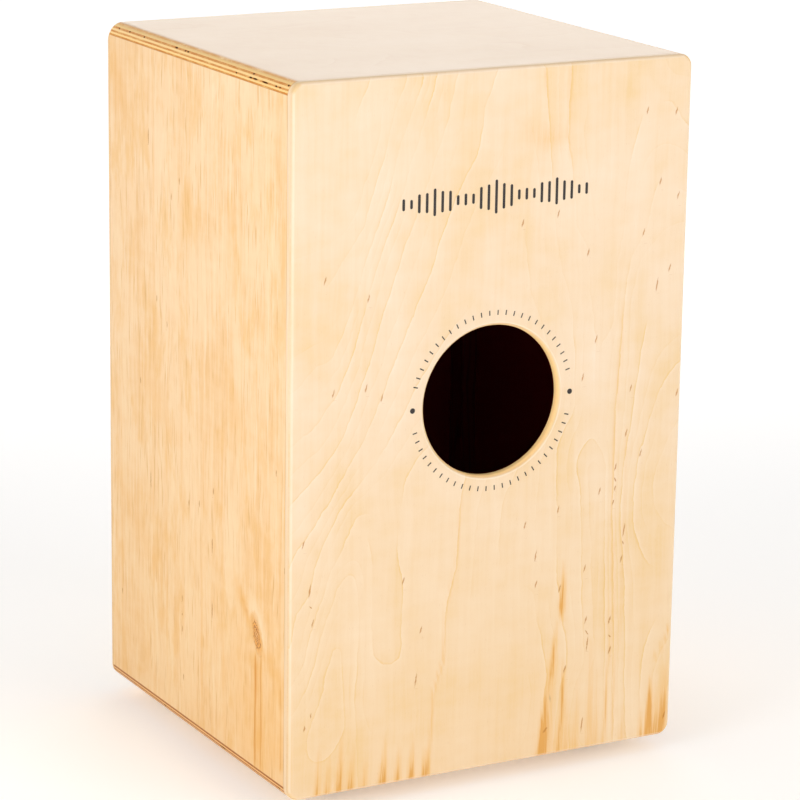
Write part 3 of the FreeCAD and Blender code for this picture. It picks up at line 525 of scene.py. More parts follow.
def fleck_field(places, groups, reach=7.0, lead=2.5, far=50.0):
    """Per vertex: offset to the nearest fleck in units of its size, and its strength.

    Strength is 0 and the offset far unless the fleck is in reach and clearly the nearest.
    """
    flecks = [(*centre, *rest) for *rest, centres in groups for centre in centres]
    flecks = np.array(flecks, float)
    delta = places[:, None] - flecks[None, :, :2]
    distance = np.sqrt((delta[..., 0] * 1.3) ** 2 + (delta[..., 1] * 0.7) ** 2)
    nearest = distance.argmin(1)
    ranked = np.sort(distance, axis=1)
    offset = delta[np.arange(len(places)), nearest] / flecks[nearest, 2:4]
    gate = ((ranked[:, 0] < reach) & (ranked[:, 1] - ranked[:, 0] > lead)).astype(float)
    offset = np.where(gate[:, None] > 0, offset, far)
    return np.column_stack([offset[:, 0], offset[:, 1], gate * flecks[nearest, 4]])


def put_figure(piece, ring, slope, streak, fissure, fleck):
    put_attribute(piece, "ring", ring)
    put_attribute(piece, "ring_step", slope)
    put_attribute(piece, "streak", streak)
    put_attribute(piece, "fissure", fissure)
    put_attribute(piece, "fleck", fleck, "FLOAT_VECTOR")


def rear_figure(piece):
    places = coords_mm(piece, [0, 2])
    samples = [(point, ring) for ring, line in REAR_RINGS for point in resample(line, step=10.0)]
    field = thin_plate(*zip(*samples), slack=4.0)
    ring = field(places)
    slope = np.hypot(field(places + [1.0, 0]) - ring, field(places + [0, 1.0]) - ring)
    put_figure(
        piece,
        ring,
        np.clip(slope, 0.02, 1.0),
        streak_field(places, REAR_STREAKS),
        streak_field(places, REAR_FISSURES),
        fleck_field(places, REAR_FLECKS),
    )


def side_ring(y, z):
    """Upright wavy rings that part round the knot."""
    base = y / 9.0 + 0.9 * np.sin(z / 74.0 + y / 60.0) + 0.5 * np.sin(z / 31.0 + 1.3 + y / 25.0)
    off_y, off_z = y - KNOT_Y, z - KNOT_Z
    bend = np.sign(off_y) * np.exp(-np.abs(off_y) / 16.0) * np.exp(-((off_z / 32.0) ** 2))
    return base + 1.9 * bend


def side_figure(piece):
    places = coords_mm(piece, [1, 2])
    y, z = places.T
    ring = side_ring(y, z)
    slope = np.hypot(side_ring(y + 1, z) - ring, side_ring(y, z + 1) - ring)
    put_figure(
        piece,
        ring,
        np.clip(slope, 0.03, 0.5),
        streak_field(places, SIDE_STREAKS),
        np.zeros(len(places)),
        fleck_field(places, SIDE_FLECKS),
    )


# ------------------------------------------------------------------ node helpers


class Signal:
    """A shader socket; ordinary arithmetic on it adds math nodes to its tree."""

    def __init__(self, tree, socket):
        self.tree, self.socket = tree, socket

    def __add__(self, other):
        return self.tree.math("ADD", self, other)

    def __radd__(self, other):
        return self.tree.math("ADD", other, self)

    def __sub__(self, other):
        return self.tree.math("SUBTRACT", self, other)

    def __rsub__(self, other):
        return self.tree.math("SUBTRACT", other, self)

    def __mul__(self, other):
        return self.tree.math("MULTIPLY", self, other)

    def __truediv__(self, other):
        return self.tree.math("DIVIDE", self, other)

    def __abs__(self):
        return self.tree.math("ABSOLUTE", self)

    def mul_add(self, factor, offset):
        return self.tree.math("MULTIPLY_ADD", self, factor, offset)

    def rise(self, start, end, low=0.0, high=1.0):
        """Smooth step from low at start to high at end."""
        node = self.tree.node("MapRange", interpolation_type="SMOOTHSTEP")
        self.tree.plug(node.inputs, (self, start, end, low, high))
        return Signal(self.tree, node.outputs[0])

    def fall(self, start, end):
        return self.rise(start, end, low=1.0, high=0.0)


class Tree:
    """A material's node tree with one Principled shader."""

    def __init__(self, name):
        self.material = bpy.data.materials.new(name)
        self.material.use_nodes = True
        self.graph = self.material.node_tree
        self.graph.nodes.clear()
        output = self.node("OutputMaterial")
        self.shader = self.node("BsdfPrincipled")
        self.graph.links.new(self.shader.outputs[0], output.inputs[0])

    def node(self, kind, **settings):
        node = self.graph.nodes.new("ShaderNode" + kind)
        for key, value in settings.items():
            setattr(node, key, value)
        return node

    def plug(self, sockets, values):
        for socket, value in zip(sockets, values):
            if isinstance(value, Signal):
                self.graph.links.new(value.socket, socket)
            elif value is not None:
                socket.default_value = value

    def shade(self, **inputs):
        """Sets Principled inputs; underscores stand for spaces."""
        for label, value in inputs.items():
            self.plug([self.shader.inputs[label.replace("_", " ")]], [value])

    def math(self, operation, first, second=None, third=None, clamp=False):
        node = self.node("Math", operation=operation, use_clamp=clamp)
        self.plug(node.inputs, (first, second, third))
        return Signal(self, node.outputs[0])

    def length(self, first, second):
        return self.math("SQRT", first * first + second * second)

    def vector(self, x, y, z):
        node = self.node("CombineXYZ")
        self.plug(node.inputs, (x, y, z))
        return Signal(self, node.outputs[0])

    def separate(self, vector):
        node = self.node("SeparateXYZ")
        self.plug(node.inputs, (vector,))
        return [Signal(self, output) for output in node.outputs]

    def scaled(self, vector, scale):
        node = self.node("VectorMath", operation="SCALE")
        self.plug((node.inputs[0], node.inputs["Scale"]), (vector, scale))
        return Signal(self, node.outputs[0])

    def dot(self, first, second):
        node = self.node("VectorMath", operation="DOT_PRODUCT")
        self.plug(node.inputs, (first, second))
        return Signal(self, node.outputs["Value"])

    def noise(self, vector, scale=1.0, detail=2.0, rough=0.5):
        node = self.node("TexNoise")
        sockets = [node.inputs[key] for key in ("Vector", "Scale", "Detail", "Roughness")]
        self.plug(sockets, (vector, scale, detail, rough))
        return Signal(self, node.outputs["Fac"])

    def mix(self, factor, under, over, mode="MIX"):
        node = self.node("Mix", data_type="RGBA", blend_type=mode, clamp_factor=True)
        colours = [(*c, 1.0) if isinstance(c, tuple) else c for c in (under, over)]
        self.plug((node.inputs[0], node.inputs[6], node.inputs[7]), (factor, *colours))
        return Signal(self, node.outputs[2])

    def ramp(self, factor, stops):
        node = self.node("ValToRGB")
        self.plug(node.inputs, (factor,))
        elements = node.color_ramp.elements
        while len(elements) < len(stops):
            elements.new(0.5)
        for element, (position, colour) in zip(elements, stops):
            element.position, element.color = position, (*colour, 1.0)
        return Signal(self, node.outputs[0])

    def attribute(self, name, output="Fac"):
        return Signal(self, self.node("Attribute", attribute_name=name).outputs[output])

    def object_mm(self):
        return self.scaled(Signal(self, self.node("TexCoord").outputs["Object"]), 1000.0)

    def bump(self, height, strength, distance):
        node = self.node("Bump")
        sockets = [node.inputs[key] for key in ("Strength", "Distance", "Height")]
        self.plug(sockets, (strength, distance, height))
        self.shade(Normal=Signal(self, node.outputs[0]))


# ------------------------------------------------------------------ birch

# lacquered faces: the warm, middle and light ends of each board's tone; the boards differ partly as
# veneers do and partly as painted light, each face's tone set to how brightly it is lit
REAR_TONE = ((0.785, 0.540, 0.245), (0.828, 0.634, 0.432), (0.866, 0.715, 0.560))
SIDE_TONE = ((0.775, 0.440, 0.150), (0.860, 0.595, 0.335), (0.890, 0.675, 0.430))
TOP_TONE = ((0.735, 0.515, 0.325), (0.800, 0.610, 0.420), (0.840, 0.665, 0.490))
EDGE_BASE, EDGE_LIGHT = (0.890, 0.575, 0.190), (0.930, 0.660, 0.270)
# darker edge pair for the bottom board: painted shade where its rounding turns under
EDGE_SHADED_PAIR = ((0.760, 0.400, 0.100), (0.840, 0.500, 0.165))
# ply-edge ochre of the sound hole's wall, brightened beyond its own colour as painted light
HOLE_WALL_LIT_PAIR = ((1.000, 0.600, 0.225), (1.000, 0.720, 0.340))
CORNER_PAIR = ((0.780, 0.500, 0.200), (0.880, 0.640, 0.330))
END_TAN, END_DARK = (0.600, 0.215, 0.020), (0.240, 0.065, 0.006)
# near-black red inside the drum: painted shade for the dark hollow
INSIDE_SHADE_PAIR = ((0.260, 0.0072, 0.0062), (0.320, 0.0105, 0.0085))
# streak colour, and the deeper tone in its middle
STREAK = ((0.790, 0.385, 0.055), (0.600, 0.205, 0.016))
STREAK_REAR = ((0.785, 0.428, 0.098), (0.640, 0.272, 0.045))
FISSURE, FLECK, PORE = (0.16, 0.065, 0.020), (0.480, 0.180, 0.018), (0.52, 0.27, 0.08)
# ARRIS_HIGHLIGHT_TONE: painted highlight on rounded arrises, in part lighter sanded wood; JOINT: dark
# hairline joints
ARRIS_HIGHLIGHT_TONE, JOINT = (0.930, 0.800, 0.640), (0.420, 0.175, 0.030)
# painted shade: multiplied in towards the foot, darker and warmer low down
FOOT_SHADE_TINT = (0.985, 0.900, 0.680)
MOTTLE_WARM, MOTTLE_DASH = (0.790, 0.445, 0.125), (0.660, 0.340, 0.080)
MOTTLE_LIGHT = (0.900, 0.710, 0.480)
KNOT_HALO, KNOT_BODY, KNOT_SWIRL = (0.890, 0.680, 0.420), (0.740, 0.320, 0.040), (0.230, 0.052, 0.003)
KNOT_CORE, KNOT_PALE = (0.430, 0.125, 0.008), (0.840, 0.580, 0.270)
AXES = {"x": (1, 0, 0), "y": (0, 1, 0), "z": (0, 0, 1)}


class Wood(Tree):
    """A tree that knows the grain: along and across it, and deep into the face."""

    def __init__(self, name, grain, face, seed, hole):
        super().__init__(name)
        self.seed, self.face = seed, face
        self.x, self.y, self.z = self.separate(self.object_mm())
        axes = {"x": self.x, "y": self.y, "z": self.z}
        self.along, self.deep = axes.pop(grain), axes.pop(face)
        (self.across,) = axes.values()
        self.wavy = self.across
        wander = self.fibres(0.030, 0.012)
        self.wavy = (wander - 0.5).mul_add(9.0, self.across)
        self.fine = self.fibres(1.5, 0.045, deep=0.6, wavy=True, detail=3.0, rough=0.6)
        self.mid = self.fibres(0.26, 0.0075, 3.1, deep=0.3, wavy=True, detail=3.0, rough=0.55)
        self.normal = Signal(self, self.node("NewGeometry").outputs["Normal"])
        self.endwise = abs(self.dot(self.normal, AXES[grain]))  # 1 where fibres are cut across
        self.facing = abs(self.dot(self.normal, AXES[face]))  # 1 on the face of the board
        self.speck = self.noise(
            self.vector(self.x * 0.9, self.y * 0.9, self.z * 1.6), detail=3.0, rough=0.65
        )
        self.at_hole = None
        if hole:
            radius = self.length(self.x - HOLE_X, self.z - HOLE_Z)
            self.at_hole = radius.fall(57.0, 60.0)

    def fibres(self, across, along, shift=0.0, deep=None, wavy=False, **texture):
        """Seeded noise; across, along and deep are frequencies per mm."""
        seed = self.seed + shift
        sideways = self.wavy if wavy else self.across
        depth = seed if deep is None else self.deep.mul_add(deep, seed)
        return self.noise(self.vector(sideways * across, self.along * along, depth), **texture)


def plain_tone(wood, contrast, fibre):
    """Tone 0..1 from fibres, broad blotches and cross ripples."""
    blotch = wood.fibres(0.019, 0.011, 7.7)
    ripple = wood.fibres(0.055, 0.10, 11.0)
    return (
        0.5
        + (wood.fine - 0.5) * (0.50 * contrast * fibre)
        + (wood.mid - 0.5) * (0.95 * contrast * fibre)
        + (blotch - 0.5) * (1.00 * contrast)
        + (ripple - 0.5) * (0.40 * contrast)
    )


def ring_tone(wood, tone, figure, ring_gain):
    """Each ring line is a crisp step: tan late wood on one side, pale early wood on the other."""
    if figure == "attr":
        phase, step = wood.attribute("ring"), wood.attribute("ring_step")
    else:
        broad = wood.fibres(0.0075, 0.0030, 20.0, detail=1.0, rough=0.4)
        phase, step = broad.mul_add(30.0, wood.across * 0.024), 0.15
    wobble = wood.fibres(0.11, 0.06, 30.0, detail=3.0, rough=0.6)
    phase = ((wobble - 0.5) * 4.0).mul_add(step, phase)
    fade = wood.fibres(0.03, 0.012, 41.0, detail=1.0).rise(0.38, 0.62, low=0.22)
    if figure == "attr":
        fade = fade * step.rise(0.024, 0.055)
    cycle = 0.5  # a strong line every second ring, a faint one between
    for shift, gain in ((0.0, 1.0), (0.5, 0.30)):
        part = wood.math("FRACT", phase.mul_add(cycle, shift))
        mm_before = (1.0 - part) / wood.math("MULTIPLY", step, cycle)
        mm_after = part / wood.math("MULTIPLY", step, cycle)
        late = mm_before.fall(0.0, 1.7) * 0.66 + part.rise(0.40, 1.0) * 0.26
        early = mm_after.fall(0.0, 2.4) * 0.50 + part.rise(0.45, 0.0) * 0.26
        darker = late * fade * (-0.34 * ring_gain * gain)
        lighter = early * fade * (0.26 * ring_gain * gain)
        tone = tone + darker + lighter
    return tone


def add_mottle(wood, colour, amount):
    """Warm patches, short dashes and light streaks."""
    patch = wood.fibres(0.050, 0.020, 90.0, wavy=True, detail=4.0, rough=0.6)
    colour = wood.mix(patch.rise(0.48, 0.70) * (0.52 * amount), colour, MOTTLE_WARM)
    dash = wood.fibres(0.75, 0.030, 95.0, wavy=True, rough=0.55)
    colour = wood.mix(dash.rise(0.59, 0.72) * (0.70 * amount), colour, MOTTLE_DASH)
    light = wood.fibres(0.30, 0.020, 99.0, wavy=True, detail=3.0, rough=0.6)
    return wood.mix(light.rise(0.55, 0.74) * (0.45 * amount), colour, MOTTLE_LIGHT)


def add_marks(wood, colour, lean):
    """Streaks, fissures and flecks from the mesh attributes."""
    streak = wood.attribute("streak")
    tear = wood.fibres(0.9, 0.03, 61.0, wavy=True, detail=3.0, rough=0.6)
    streak = wood.math("MULTIPLY", streak, tear.rise(0.25, 0.62, 0.55, 1.45), clamp=True)
    outer, middle = STREAK
    if wood.at_hole:
        streak = wood.math("MULTIPLY", streak, 1.30, clamp=True)
        outer, middle = STREAK_REAR
    colour = wood.mix(streak * 0.92, colour, outer)
    colour = wood.mix(streak.rise(0.50, 0.95) * 0.50, colour, middle)
    fissure = wood.attribute("fissure").rise(0.15, 0.8, high=0.85)
    colour = wood.mix(fissure, colour, FISSURE)
    sideways, up, strength = wood.separate(wood.attribute("fleck", "Vector"))
    jitter = wood.fibres(0.9, 0.5, 70.0)
    sideways = sideways + (jitter - 0.5) * 2.0 + up * lean
    fleck = wood.length(sideways, up).fall(0.45, 1.25) * strength.rise(0.3, 0.6)
    return wood.mix(fleck * 0.74, colour, FLECK)


def add_knot(wood, colour):
    """A leaning oval knot with dark swirls and a pale halo on its upper side."""
    across, up = wood.y - KNOT_Y, wood.z - KNOT_Z
    across = up.mul_add(0.26, across)

    def knot_noise(frequency_across, frequency_up, shift):
        place = wood.vector(across * frequency_across, up * frequency_up, wood.seed + shift)
        return wood.noise(place, detail=3.0)

    coarse = knot_noise(0.30, 0.22, 80.0)
    curl = knot_noise(0.75, 0.55, 84.0)
    radius = wood.length(across / 0.50, up)
    radius = (coarse - 0.5).mul_add(10.0, radius)
    swirl = wood.math("SINE", (curl - 0.5).mul_add(9.0, radius * 1.55))
    body = radius.fall(7.5, 14.5)
    core = radius.fall(2.0, 7.0)
    halo = radius.rise(14.0, 19.0) * radius.fall(19.0, 34.0) * (across + up).rise(-6.0, 10.0)
    for factor, tint in (
        (halo * 0.60, KNOT_HALO),
        (body * 0.82, KNOT_BODY),
        (body * swirl.rise(0.35, 0.95) * 0.92, KNOT_SWIRL),
        (core * 0.30, KNOT_CORE),
        (core * swirl.rise(-0.2, -0.9) * 0.5, KNOT_PALE),
    ):
        colour = wood.mix(factor, colour, tint)
    return colour


def add_cut_edges(wood, colour, end, end_from, edge_tint_and_shade):
    """Cut fibre ends, long veneer edges and the wall of the sound hole."""
    if wood.at_hole:
        end = wood.at_hole.mul_add(0.40 - end, end)
    place = wood.vector(wood.x * 0.10, wood.y * 0.10, wood.z.mul_add(0.5, wood.seed))
    patch = wood.noise(place)
    speckled = (wood.speck * 0.6 + patch * 0.55).rise(0.50, 0.85)
    end_colour = wood.mix(speckled, END_TAN, EDGE_BASE)
    dark = wood.speck.rise(0.58, 0.70) * patch.rise(0.45, 0.68) * 0.60
    end_colour = wood.mix(dark, end_colour, END_DARK)
    if edge_tint_and_shade:
        end_colour = wood.mix(1.0, end_colour, edge_tint_and_shade, "MULTIPLY")
    colour = wood.mix(wood.endwise.rise(*end_from) * end, colour, end_colour)
    # long edges: a yellower, cleaner tone than the lacquered face
    turn = (0.985, 0.80) if wood.face == "z" else (0.92, 0.55)
    edge = wood.facing.rise(*turn) * wood.endwise.rise(0.72, 0.30)
    if wood.at_hole:
        rim = wood.at_hole * wood.facing.rise(0.97, 0.80) * wood.endwise.rise(0.72, 0.30)
        edge = wood.math("MAXIMUM", edge, rim)
    # the bottom board's edges take the darker pair, painted shade on the underside's rounding
    pair = EDGE_SHADED_PAIR if edge_tint_and_shade and edge_tint_and_shade[0] < 1.0 else (EDGE_BASE, EDGE_LIGHT)
    colour = wood.mix(edge * end * 0.85, colour, wood.mix(wood.fine, *pair))
    # painted light: the hole's wall is lightened to a bright ochre, in part the ply edges' own colour
    if wood.at_hole:
        wall = wood.at_hole * wood.facing.rise(0.90, 0.60)
        colour = wood.mix(wall * 0.78, colour, wood.mix(wood.fine, *HOLE_WALL_LIT_PAIR))
    return colour


def add_arrises(wood, colour, arris_highlight):
    """Tan patches where rounded corners cut the upright fibres, and a light band on the rounded
    arrises that is painted highlight, in part lighter sanded wood.
    """
    normal_x, _, normal_z = wood.separate(wood.normal)
    tilt = wood.math("MAXIMUM", 1.0 - wood.facing * wood.facing, 0.02)
    corner = (abs(normal_x * normal_z) / tilt).rise(0.15, 0.42)
    at_corner = corner * wood.facing.rise(0.985, 0.90)
    if wood.at_hole:
        at_corner = at_corner * (1.0 - wood.at_hole)
    colour = wood.mix(at_corner * 0.60, colour, wood.mix(wood.speck, *CORNER_PAIR))
    if not arris_highlight:
        return colour
    # painted highlight: a light band across the middle of each rounded arris, and a thin line on the
    # sound hole's outer rim
    arris = wood.facing.rise(0.985, 0.93) * wood.facing.rise(0.62, 0.80)
    arris = arris * corner.mul_add(-0.85, 1.0)
    if wood.at_hole:
        rim = wood.facing.rise(0.9990, 0.985) * wood.facing.rise(0.90, 0.955)
        arris = arris * (1.0 - wood.at_hole) + rim * wood.at_hole * 1.2
    place = wood.vector(wood.x * 0.08, wood.y * 0.08, wood.z * 0.08)
    highlight_break = wood.noise(place, detail=3.0, rough=0.6)
    return wood.mix(arris * arris_highlight * highlight_break.rise(0.25, 0.6, low=0.65), colour, ARRIS_HIGHLIGHT_TONE)


def add_joints(wood, colour):
    """Hairlines where the boards meet."""

    def nearer(position, first, second):
        return wood.math("MINIMUM", abs(position - first), abs(position - second))

    seam = nearer(wood.y, REAR_IN, PLATE_IN)
    if wood.face != "y":
        seam = wood.math("MINIMUM", seam, nearer(wood.z, TOP_IN, BOTTOM_IN))
    return wood.mix(seam.fall(0.08, 0.42) * 0.55, colour, JOINT)


def birch(
    name, grain, face, tone, seed, figure,
    contrast=1.0, fibre=1.0, ring_gain=1.0, rough=0.40, spec=0.5,
    end=1.0, end_from=(0.30, 0.72), edge_tint_and_shade=None,
    mottle=0.0, arris_highlight=0.0, low=0.0, lean=0.0, knot=False, hole=False,
):
    """Clear-lacquered rotary-cut birch veneer.

    grain: axis of the fibres; face: axis the face looks along; figure: "attr" (mesh
    attributes), "proc" (noise) or "none"; contrast, fibre, ring_gain: strength of the tones;
    end: how strongly cut edges show, end_from: how steep a cut shows, edge_tint_and_shade: their
    tint, on the bottom board a darkening that is painted shade; mottle: warm patches and dashes;
    worn: painted highlight on rounded arrises, in part lighter sanded wood; low: painted shade,
    darker and warmer towards the foot; lean: slant of the flecks.
    """
    wood = Wood(name, grain, face, seed, hole)
    level = plain_tone(wood, contrast, fibre)
    if figure != "none":
        level = ring_tone(wood, level, figure, ring_gain)
    level = wood.math("ADD", level, 0.0, clamp=True)
    colour = wood.ramp(level, list(zip((0.0, 0.5, 1.0), tone)))
    if mottle:
        colour = add_mottle(wood, colour, mottle)
    # fine pores, short dark dashes along the grain
    pore = wood.fibres(2.8, 0.30, 50.0, deep=1.0, detail=1.0).rise(0.68, 0.78)
    colour = wood.mix(pore * 0.18, colour, PORE)
    # painted shade: the face darkens and warms towards the bottom
    if low:
        colour = wood.mix(wood.z.fall(15.0, 330.0) * low, colour, FOOT_SHADE_TINT, "MULTIPLY")
    if figure == "attr":
        colour = add_marks(wood, colour, lean)
    if knot:
        colour = add_knot(wood, colour)
    colour = add_cut_edges(wood, colour, end, end_from, edge_tint_and_shade)
    if face == "y":
        colour = add_arrises(wood, colour, arris_highlight)
    colour = add_joints(wood, colour)
    # the inside of the drum is coloured near-black red: painted shade for the dark hollow
    inside = (
        abs(wood.x).fall(SIDE_IN + 0.25, SIDE_IN + 0.40)
        * wood.y.rise(PLATE_IN - 0.40, PLATE_IN - 0.25)
        * wood.y.fall(REAR_IN + 0.25, REAR_IN + 0.40)
        * wood.z.rise(BOTTOM_IN - 0.40, BOTTOM_IN - 0.25)
        * wood.z.fall(TOP_IN + 0.25, TOP_IN + 0.40)
    )
    wood.shade(
        Base_Color=wood.mix(inside, colour, wood.mix(wood.fine, *INSIDE_SHADE_PAIR)),
        Roughness=(rough - 0.10) + wood.mid * 0.12 + wood.fine * 0.10 + inside * 0.35,
        IOR=1.47,
        Specular_IOR_Level=spec,
    )
    height = wood.fine * 0.7 + pore * -0.6 + wood.mid * 0.3
    wood.bump(height, strength=0.22, distance=0.00006)
    return wood.material


# ------------------------------------------------------------------ other materials


def pine(name, grain, seed, early_pair, late_colour):
    """Sawn wood with rings running along the grain axis."""
    tree = Tree(name)
    axes = dict(zip("xyz", tree.separate(tree.object_mm())))
    along = axes.pop(grain)
    first, second = axes.values()
    warp = tree.noise(tree.vector(first * 0.05, second * 0.05, along.mul_add(0.008, seed)))
    radius = tree.math("SQRT", first * first * 0.05 + second * second * 0.05)
    ring = tree.math("FRACT", (first + second * 0.6) * 0.42 + warp * 5.0 + radius)
    fine = tree.noise(
        tree.vector(first * 2.0, second * 2.0, along * 0.06), detail=3.0, rough=0.6
    )
    late = ring.rise(0.55, 0.98)
    colour = tree.mix(late * 0.6, tree.mix(fine, *early_pair), late_colour)
    tree.shade(Base_Color=colour, Roughness=fine.mul_add(0.2, 0.5))
    tree.bump(fine * 0.6 + late * 0.4, strength=0.3, distance=0.0001)
    return tree.material


def metal(name, colours, rough, metallic=1.0, scale=0.35, bump=0.12):
    """colours and rough: the two ends that a noise of the given scale varies between."""
    tree = Tree(name)
    place = tree.object_mm()
    x, y, z = tree.separate(place)
    big = tree.noise(place, scale, detail=3.0, rough=0.55)
    fine = tree.noise(tree.vector(x * 3.0, y * 3.0, z * 3.0), detail=3.0, rough=0.6)
    tree.shade(
        Base_Color=tree.mix(big * 0.7 + fine * 0.3, *colours),
        Metallic=metallic,
        Roughness=rough[0] + big * (rough[1] - rough[0]) + fine * 0.08,
    )
    tree.bump(fine + big * 0.4, strength=bump, distance=0.00004)
    return tree.material


def rubber(name):
    tree = Tree(name)
    place = tree.object_mm()
    fine = tree.noise(place, scale=2.4, detail=4.0, rough=0.65)
    dust = tree.noise(place, scale=0.12, detail=3.0)
    colour = tree.mix(dust.rise(0.35, 0.75), (0.016, 0.016, 0.017), (0.034, 0.033, 0.032))
    tree.shade(Base_Color=colour, Roughness=fine.mul_add(0.25, 0.55))
    tree.bump(fine, strength=0.5, distance=0.00012)
    return tree.material


def ink(name):
    tree = Tree(name)
    grit = tree.noise(tree.object_mm(), scale=1.4, detail=4.0, rough=0.6)
    colour = tree.mix(grit.rise(0.3, 0.75), (0.010, 0.006, 0.006), (0.030, 0.018, 0.014))
    tree.shade(Base_Color=colour, Roughness=grit.mul_add(0.2, 0.42))
    tree.bump(grit, strength=0.2, distance=0.00004)
    return tree.material


# painted shade: dark brown for the faces inside the ply voids
def void_shade(name):
    tree = Tree(name)
    grit = tree.noise(tree.object_mm(), scale=1.8, detail=3.0, rough=0.6)
    colour = tree.mix(grit, (0.075, 0.020, 0.003), (0.23, 0.075, 0.012))
    tree.shade(Base_Color=colour, Roughness=0.9)
    tree.bump(grit, strength=0.4, distance=0.0002)
    return tree.material


# ------------------------------------------------------------------ top and bottom boards

# painted shade for the faces of the core voids
VOID_SHADE = void_shade("ply_void_shade")
rng = np.random.default_rng(7)

# core voids on the +X edge by veneer number, counted from outside: (y, half length)
TOP_VOIDS = {
    3: [(140.5, 1.3), (135.6, 1.2), (85.5, 1.3), (-19.0, 1.1), (-14.8, 1.4), (-33.5, 2.2),
        (-86.0, 1.1), (-111.0, 1.2), (-128.5, 1.0)],
    5: [(126.5, 1.0), (121.0, 1.6), (105.0, 4.4), (90.5, 3.4), (84.0, 2.4), (62.5, 1.0)],
}
BOTTOM_VOIDS = {
    3: [(96.0, 3.0), (12.0, 2.0)],
    5: [(131.0, 1.6), (44.0, 5.0), (-52.0, 2.2)],
}


def ellipsoid(shape, centre, radii):
    """Adds an ellipsoid whose faces take the second material slot."""
    verts = bmesh.ops.create_uvsphere(shape, u_segments=10, v_segments=6, radius=1.0)["verts"]
    for vert in verts:
        vert.co = Vector([c + v * r for c, v, r in zip(centre, vert.co, radii)])
    for face in {face for vert in verts for face in vert.link_faces}:
        face.material_index = 1


def void_cutter(middle_z, arc_z, spots):
    """The listed voids on the +X edge and five random ones on the -X edge."""
    cutter = bmesh.new()
    rise = abs(middle_z - arc_z)
    edge_x = HALF_WIDTH - CORNER + math.sqrt(max(CORNER**2 - rise * rise, 0.0))
    for y, half_length in spots:
        centre = (edge_x, y, middle_z + rng.uniform(-0.12, 0.12))
        ellipsoid(cutter, centre, (1.9, half_length, 0.50))
    for _ in range(5):
        centre = (-edge_x, rng.uniform(-130, 130), middle_z + rng.uniform(-0.12, 0.12))
        ellipsoid(cutter, centre, (1.7, rng.uniform(0.8, 3.6), 0.48))
    return cutter


def flat_board(prefix, node, top, face_tone, voids):
    """Top or bottom board: seven crossed veneers, each its own closed piece."""
    thickness = CORNER / 7.0
    outer_z, inward = (TOP_Z, -1.0) if top else (BOTTOM_Z, 1.0)
    for k in range(7):
        outermost = k == 0
        low, high = sorted(
            (outer_z + inward * k * thickness, outer_z + inward * (k + 1) * thickness)
        )
        shape = envelope()
        keep(
            shape, 2,
            None if outermost and not top else low,
            None if outermost and top else high,
        )
        keep(shape, 1, PLATE_IN, REAR_IN)
        if k + 1 in voids:
            arc_z = outer_z + inward * CORNER
            shape = cut(shape, void_cutter((low + high) / 2, arc_z, voids[k + 1]))
        if outermost:
            tidy(shape)
            grid(shape, 1, np.arange(-136, 136, 8.0))
            grid(shape, 0, [s * x for x in (142.4, 132.0, 110, 66, 22) for s in (-1, 1)])
        if top:
            spec, edge_tint_and_shade = (0.5, (1.36, 1.62, 2.8)) if outermost else (0.12, None)
        else:
            # painted shade: the bottom board's cut edges are darkened where the rounding turns under
            spec, edge_tint_and_shade = 0.28, (0.62, 0.42, 0.22)
        name = f"{prefix}_veneer_{k + 1}"
        material = birch(
            name,
            grain="x" if k % 2 == 0 else "y",
            face="z",
            tone=face_tone if outermost else SIDE_TONE,
            seed=5.3 * k + (1.0 if top else 41.0),
            figure="proc" if outermost else "none",
            contrast=0.7 if top else 1.0,
            ring_gain=0.45,
            fibre=0.7,
            rough=0.36 if top else 0.42,
            spec=spec,
            end_from=(0.10, 0.44) if outermost else (0.30, 0.72),
            edge_tint_and_shade=edge_tint_and_shade,
        )
        place(new_object(name, shape, [material, VOID_SHADE]), node, "birch_plywood")


flat_board("top", "top_panel", True, TOP_TONE, TOP_VOIDS)
flat_board("bottom", "bottom_panel", False, SIDE_TONE, BOTTOM_VOIDS)

# ------------------------------------------------------------------ side boards


def side_board(node):
    """A side board, its face grain upright; the +X one is cut finer to carry the figure."""
    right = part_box(node)[0].x > 0
    shape = envelope()
    keep(shape, 2, BOTTOM_IN, TOP_IN)
    keep(shape, 1, PLATE_IN, REAR_IN)
    keep(shape, 0, *((SIDE_IN, None) if right else (None, -SIDE_IN)))
    tidy(shape)
    if right:
        lines = (
            np.arange(PLATE_IN + 2.5, 58, 2.5),
            np.arange(59.2, 112, 1.2),
            np.arange(113.5, REAR_IN, 2.0),
        )
        grid(shape, 1, np.concatenate(lines))
    else:
        grid(shape, 1, np.arange(PLATE_IN + 6.0, REAR_IN, 6.0))
    grid(shape, 2, np.arange(BOTTOM_IN + 6, TOP_IN, 6.0 if right else 12.0))
    label = "right" if right else "left"
    material = birch(
        f"side_veneer_{label}",
        grain="z",
        face="x",
        tone=SIDE_TONE,
        seed=3.7 if right else 19.4,
        figure="attr" if right else "proc",
        contrast=0.95,
        ring_gain=0.16 if right else 0.8,
        fibre=0.9,
        mottle=1.0,
        low=0.52,
        knot=right,
        spec=0.26,
    )
    piece = new_object(f"side_board_{label}", shape, [material])
    if right:
        side_figure(piece)
    place(piece, node, "birch_plywood")


side_board("side_panel_right")
side_board("side_panel_left")

# ------------------------------------------------------------------ rear board


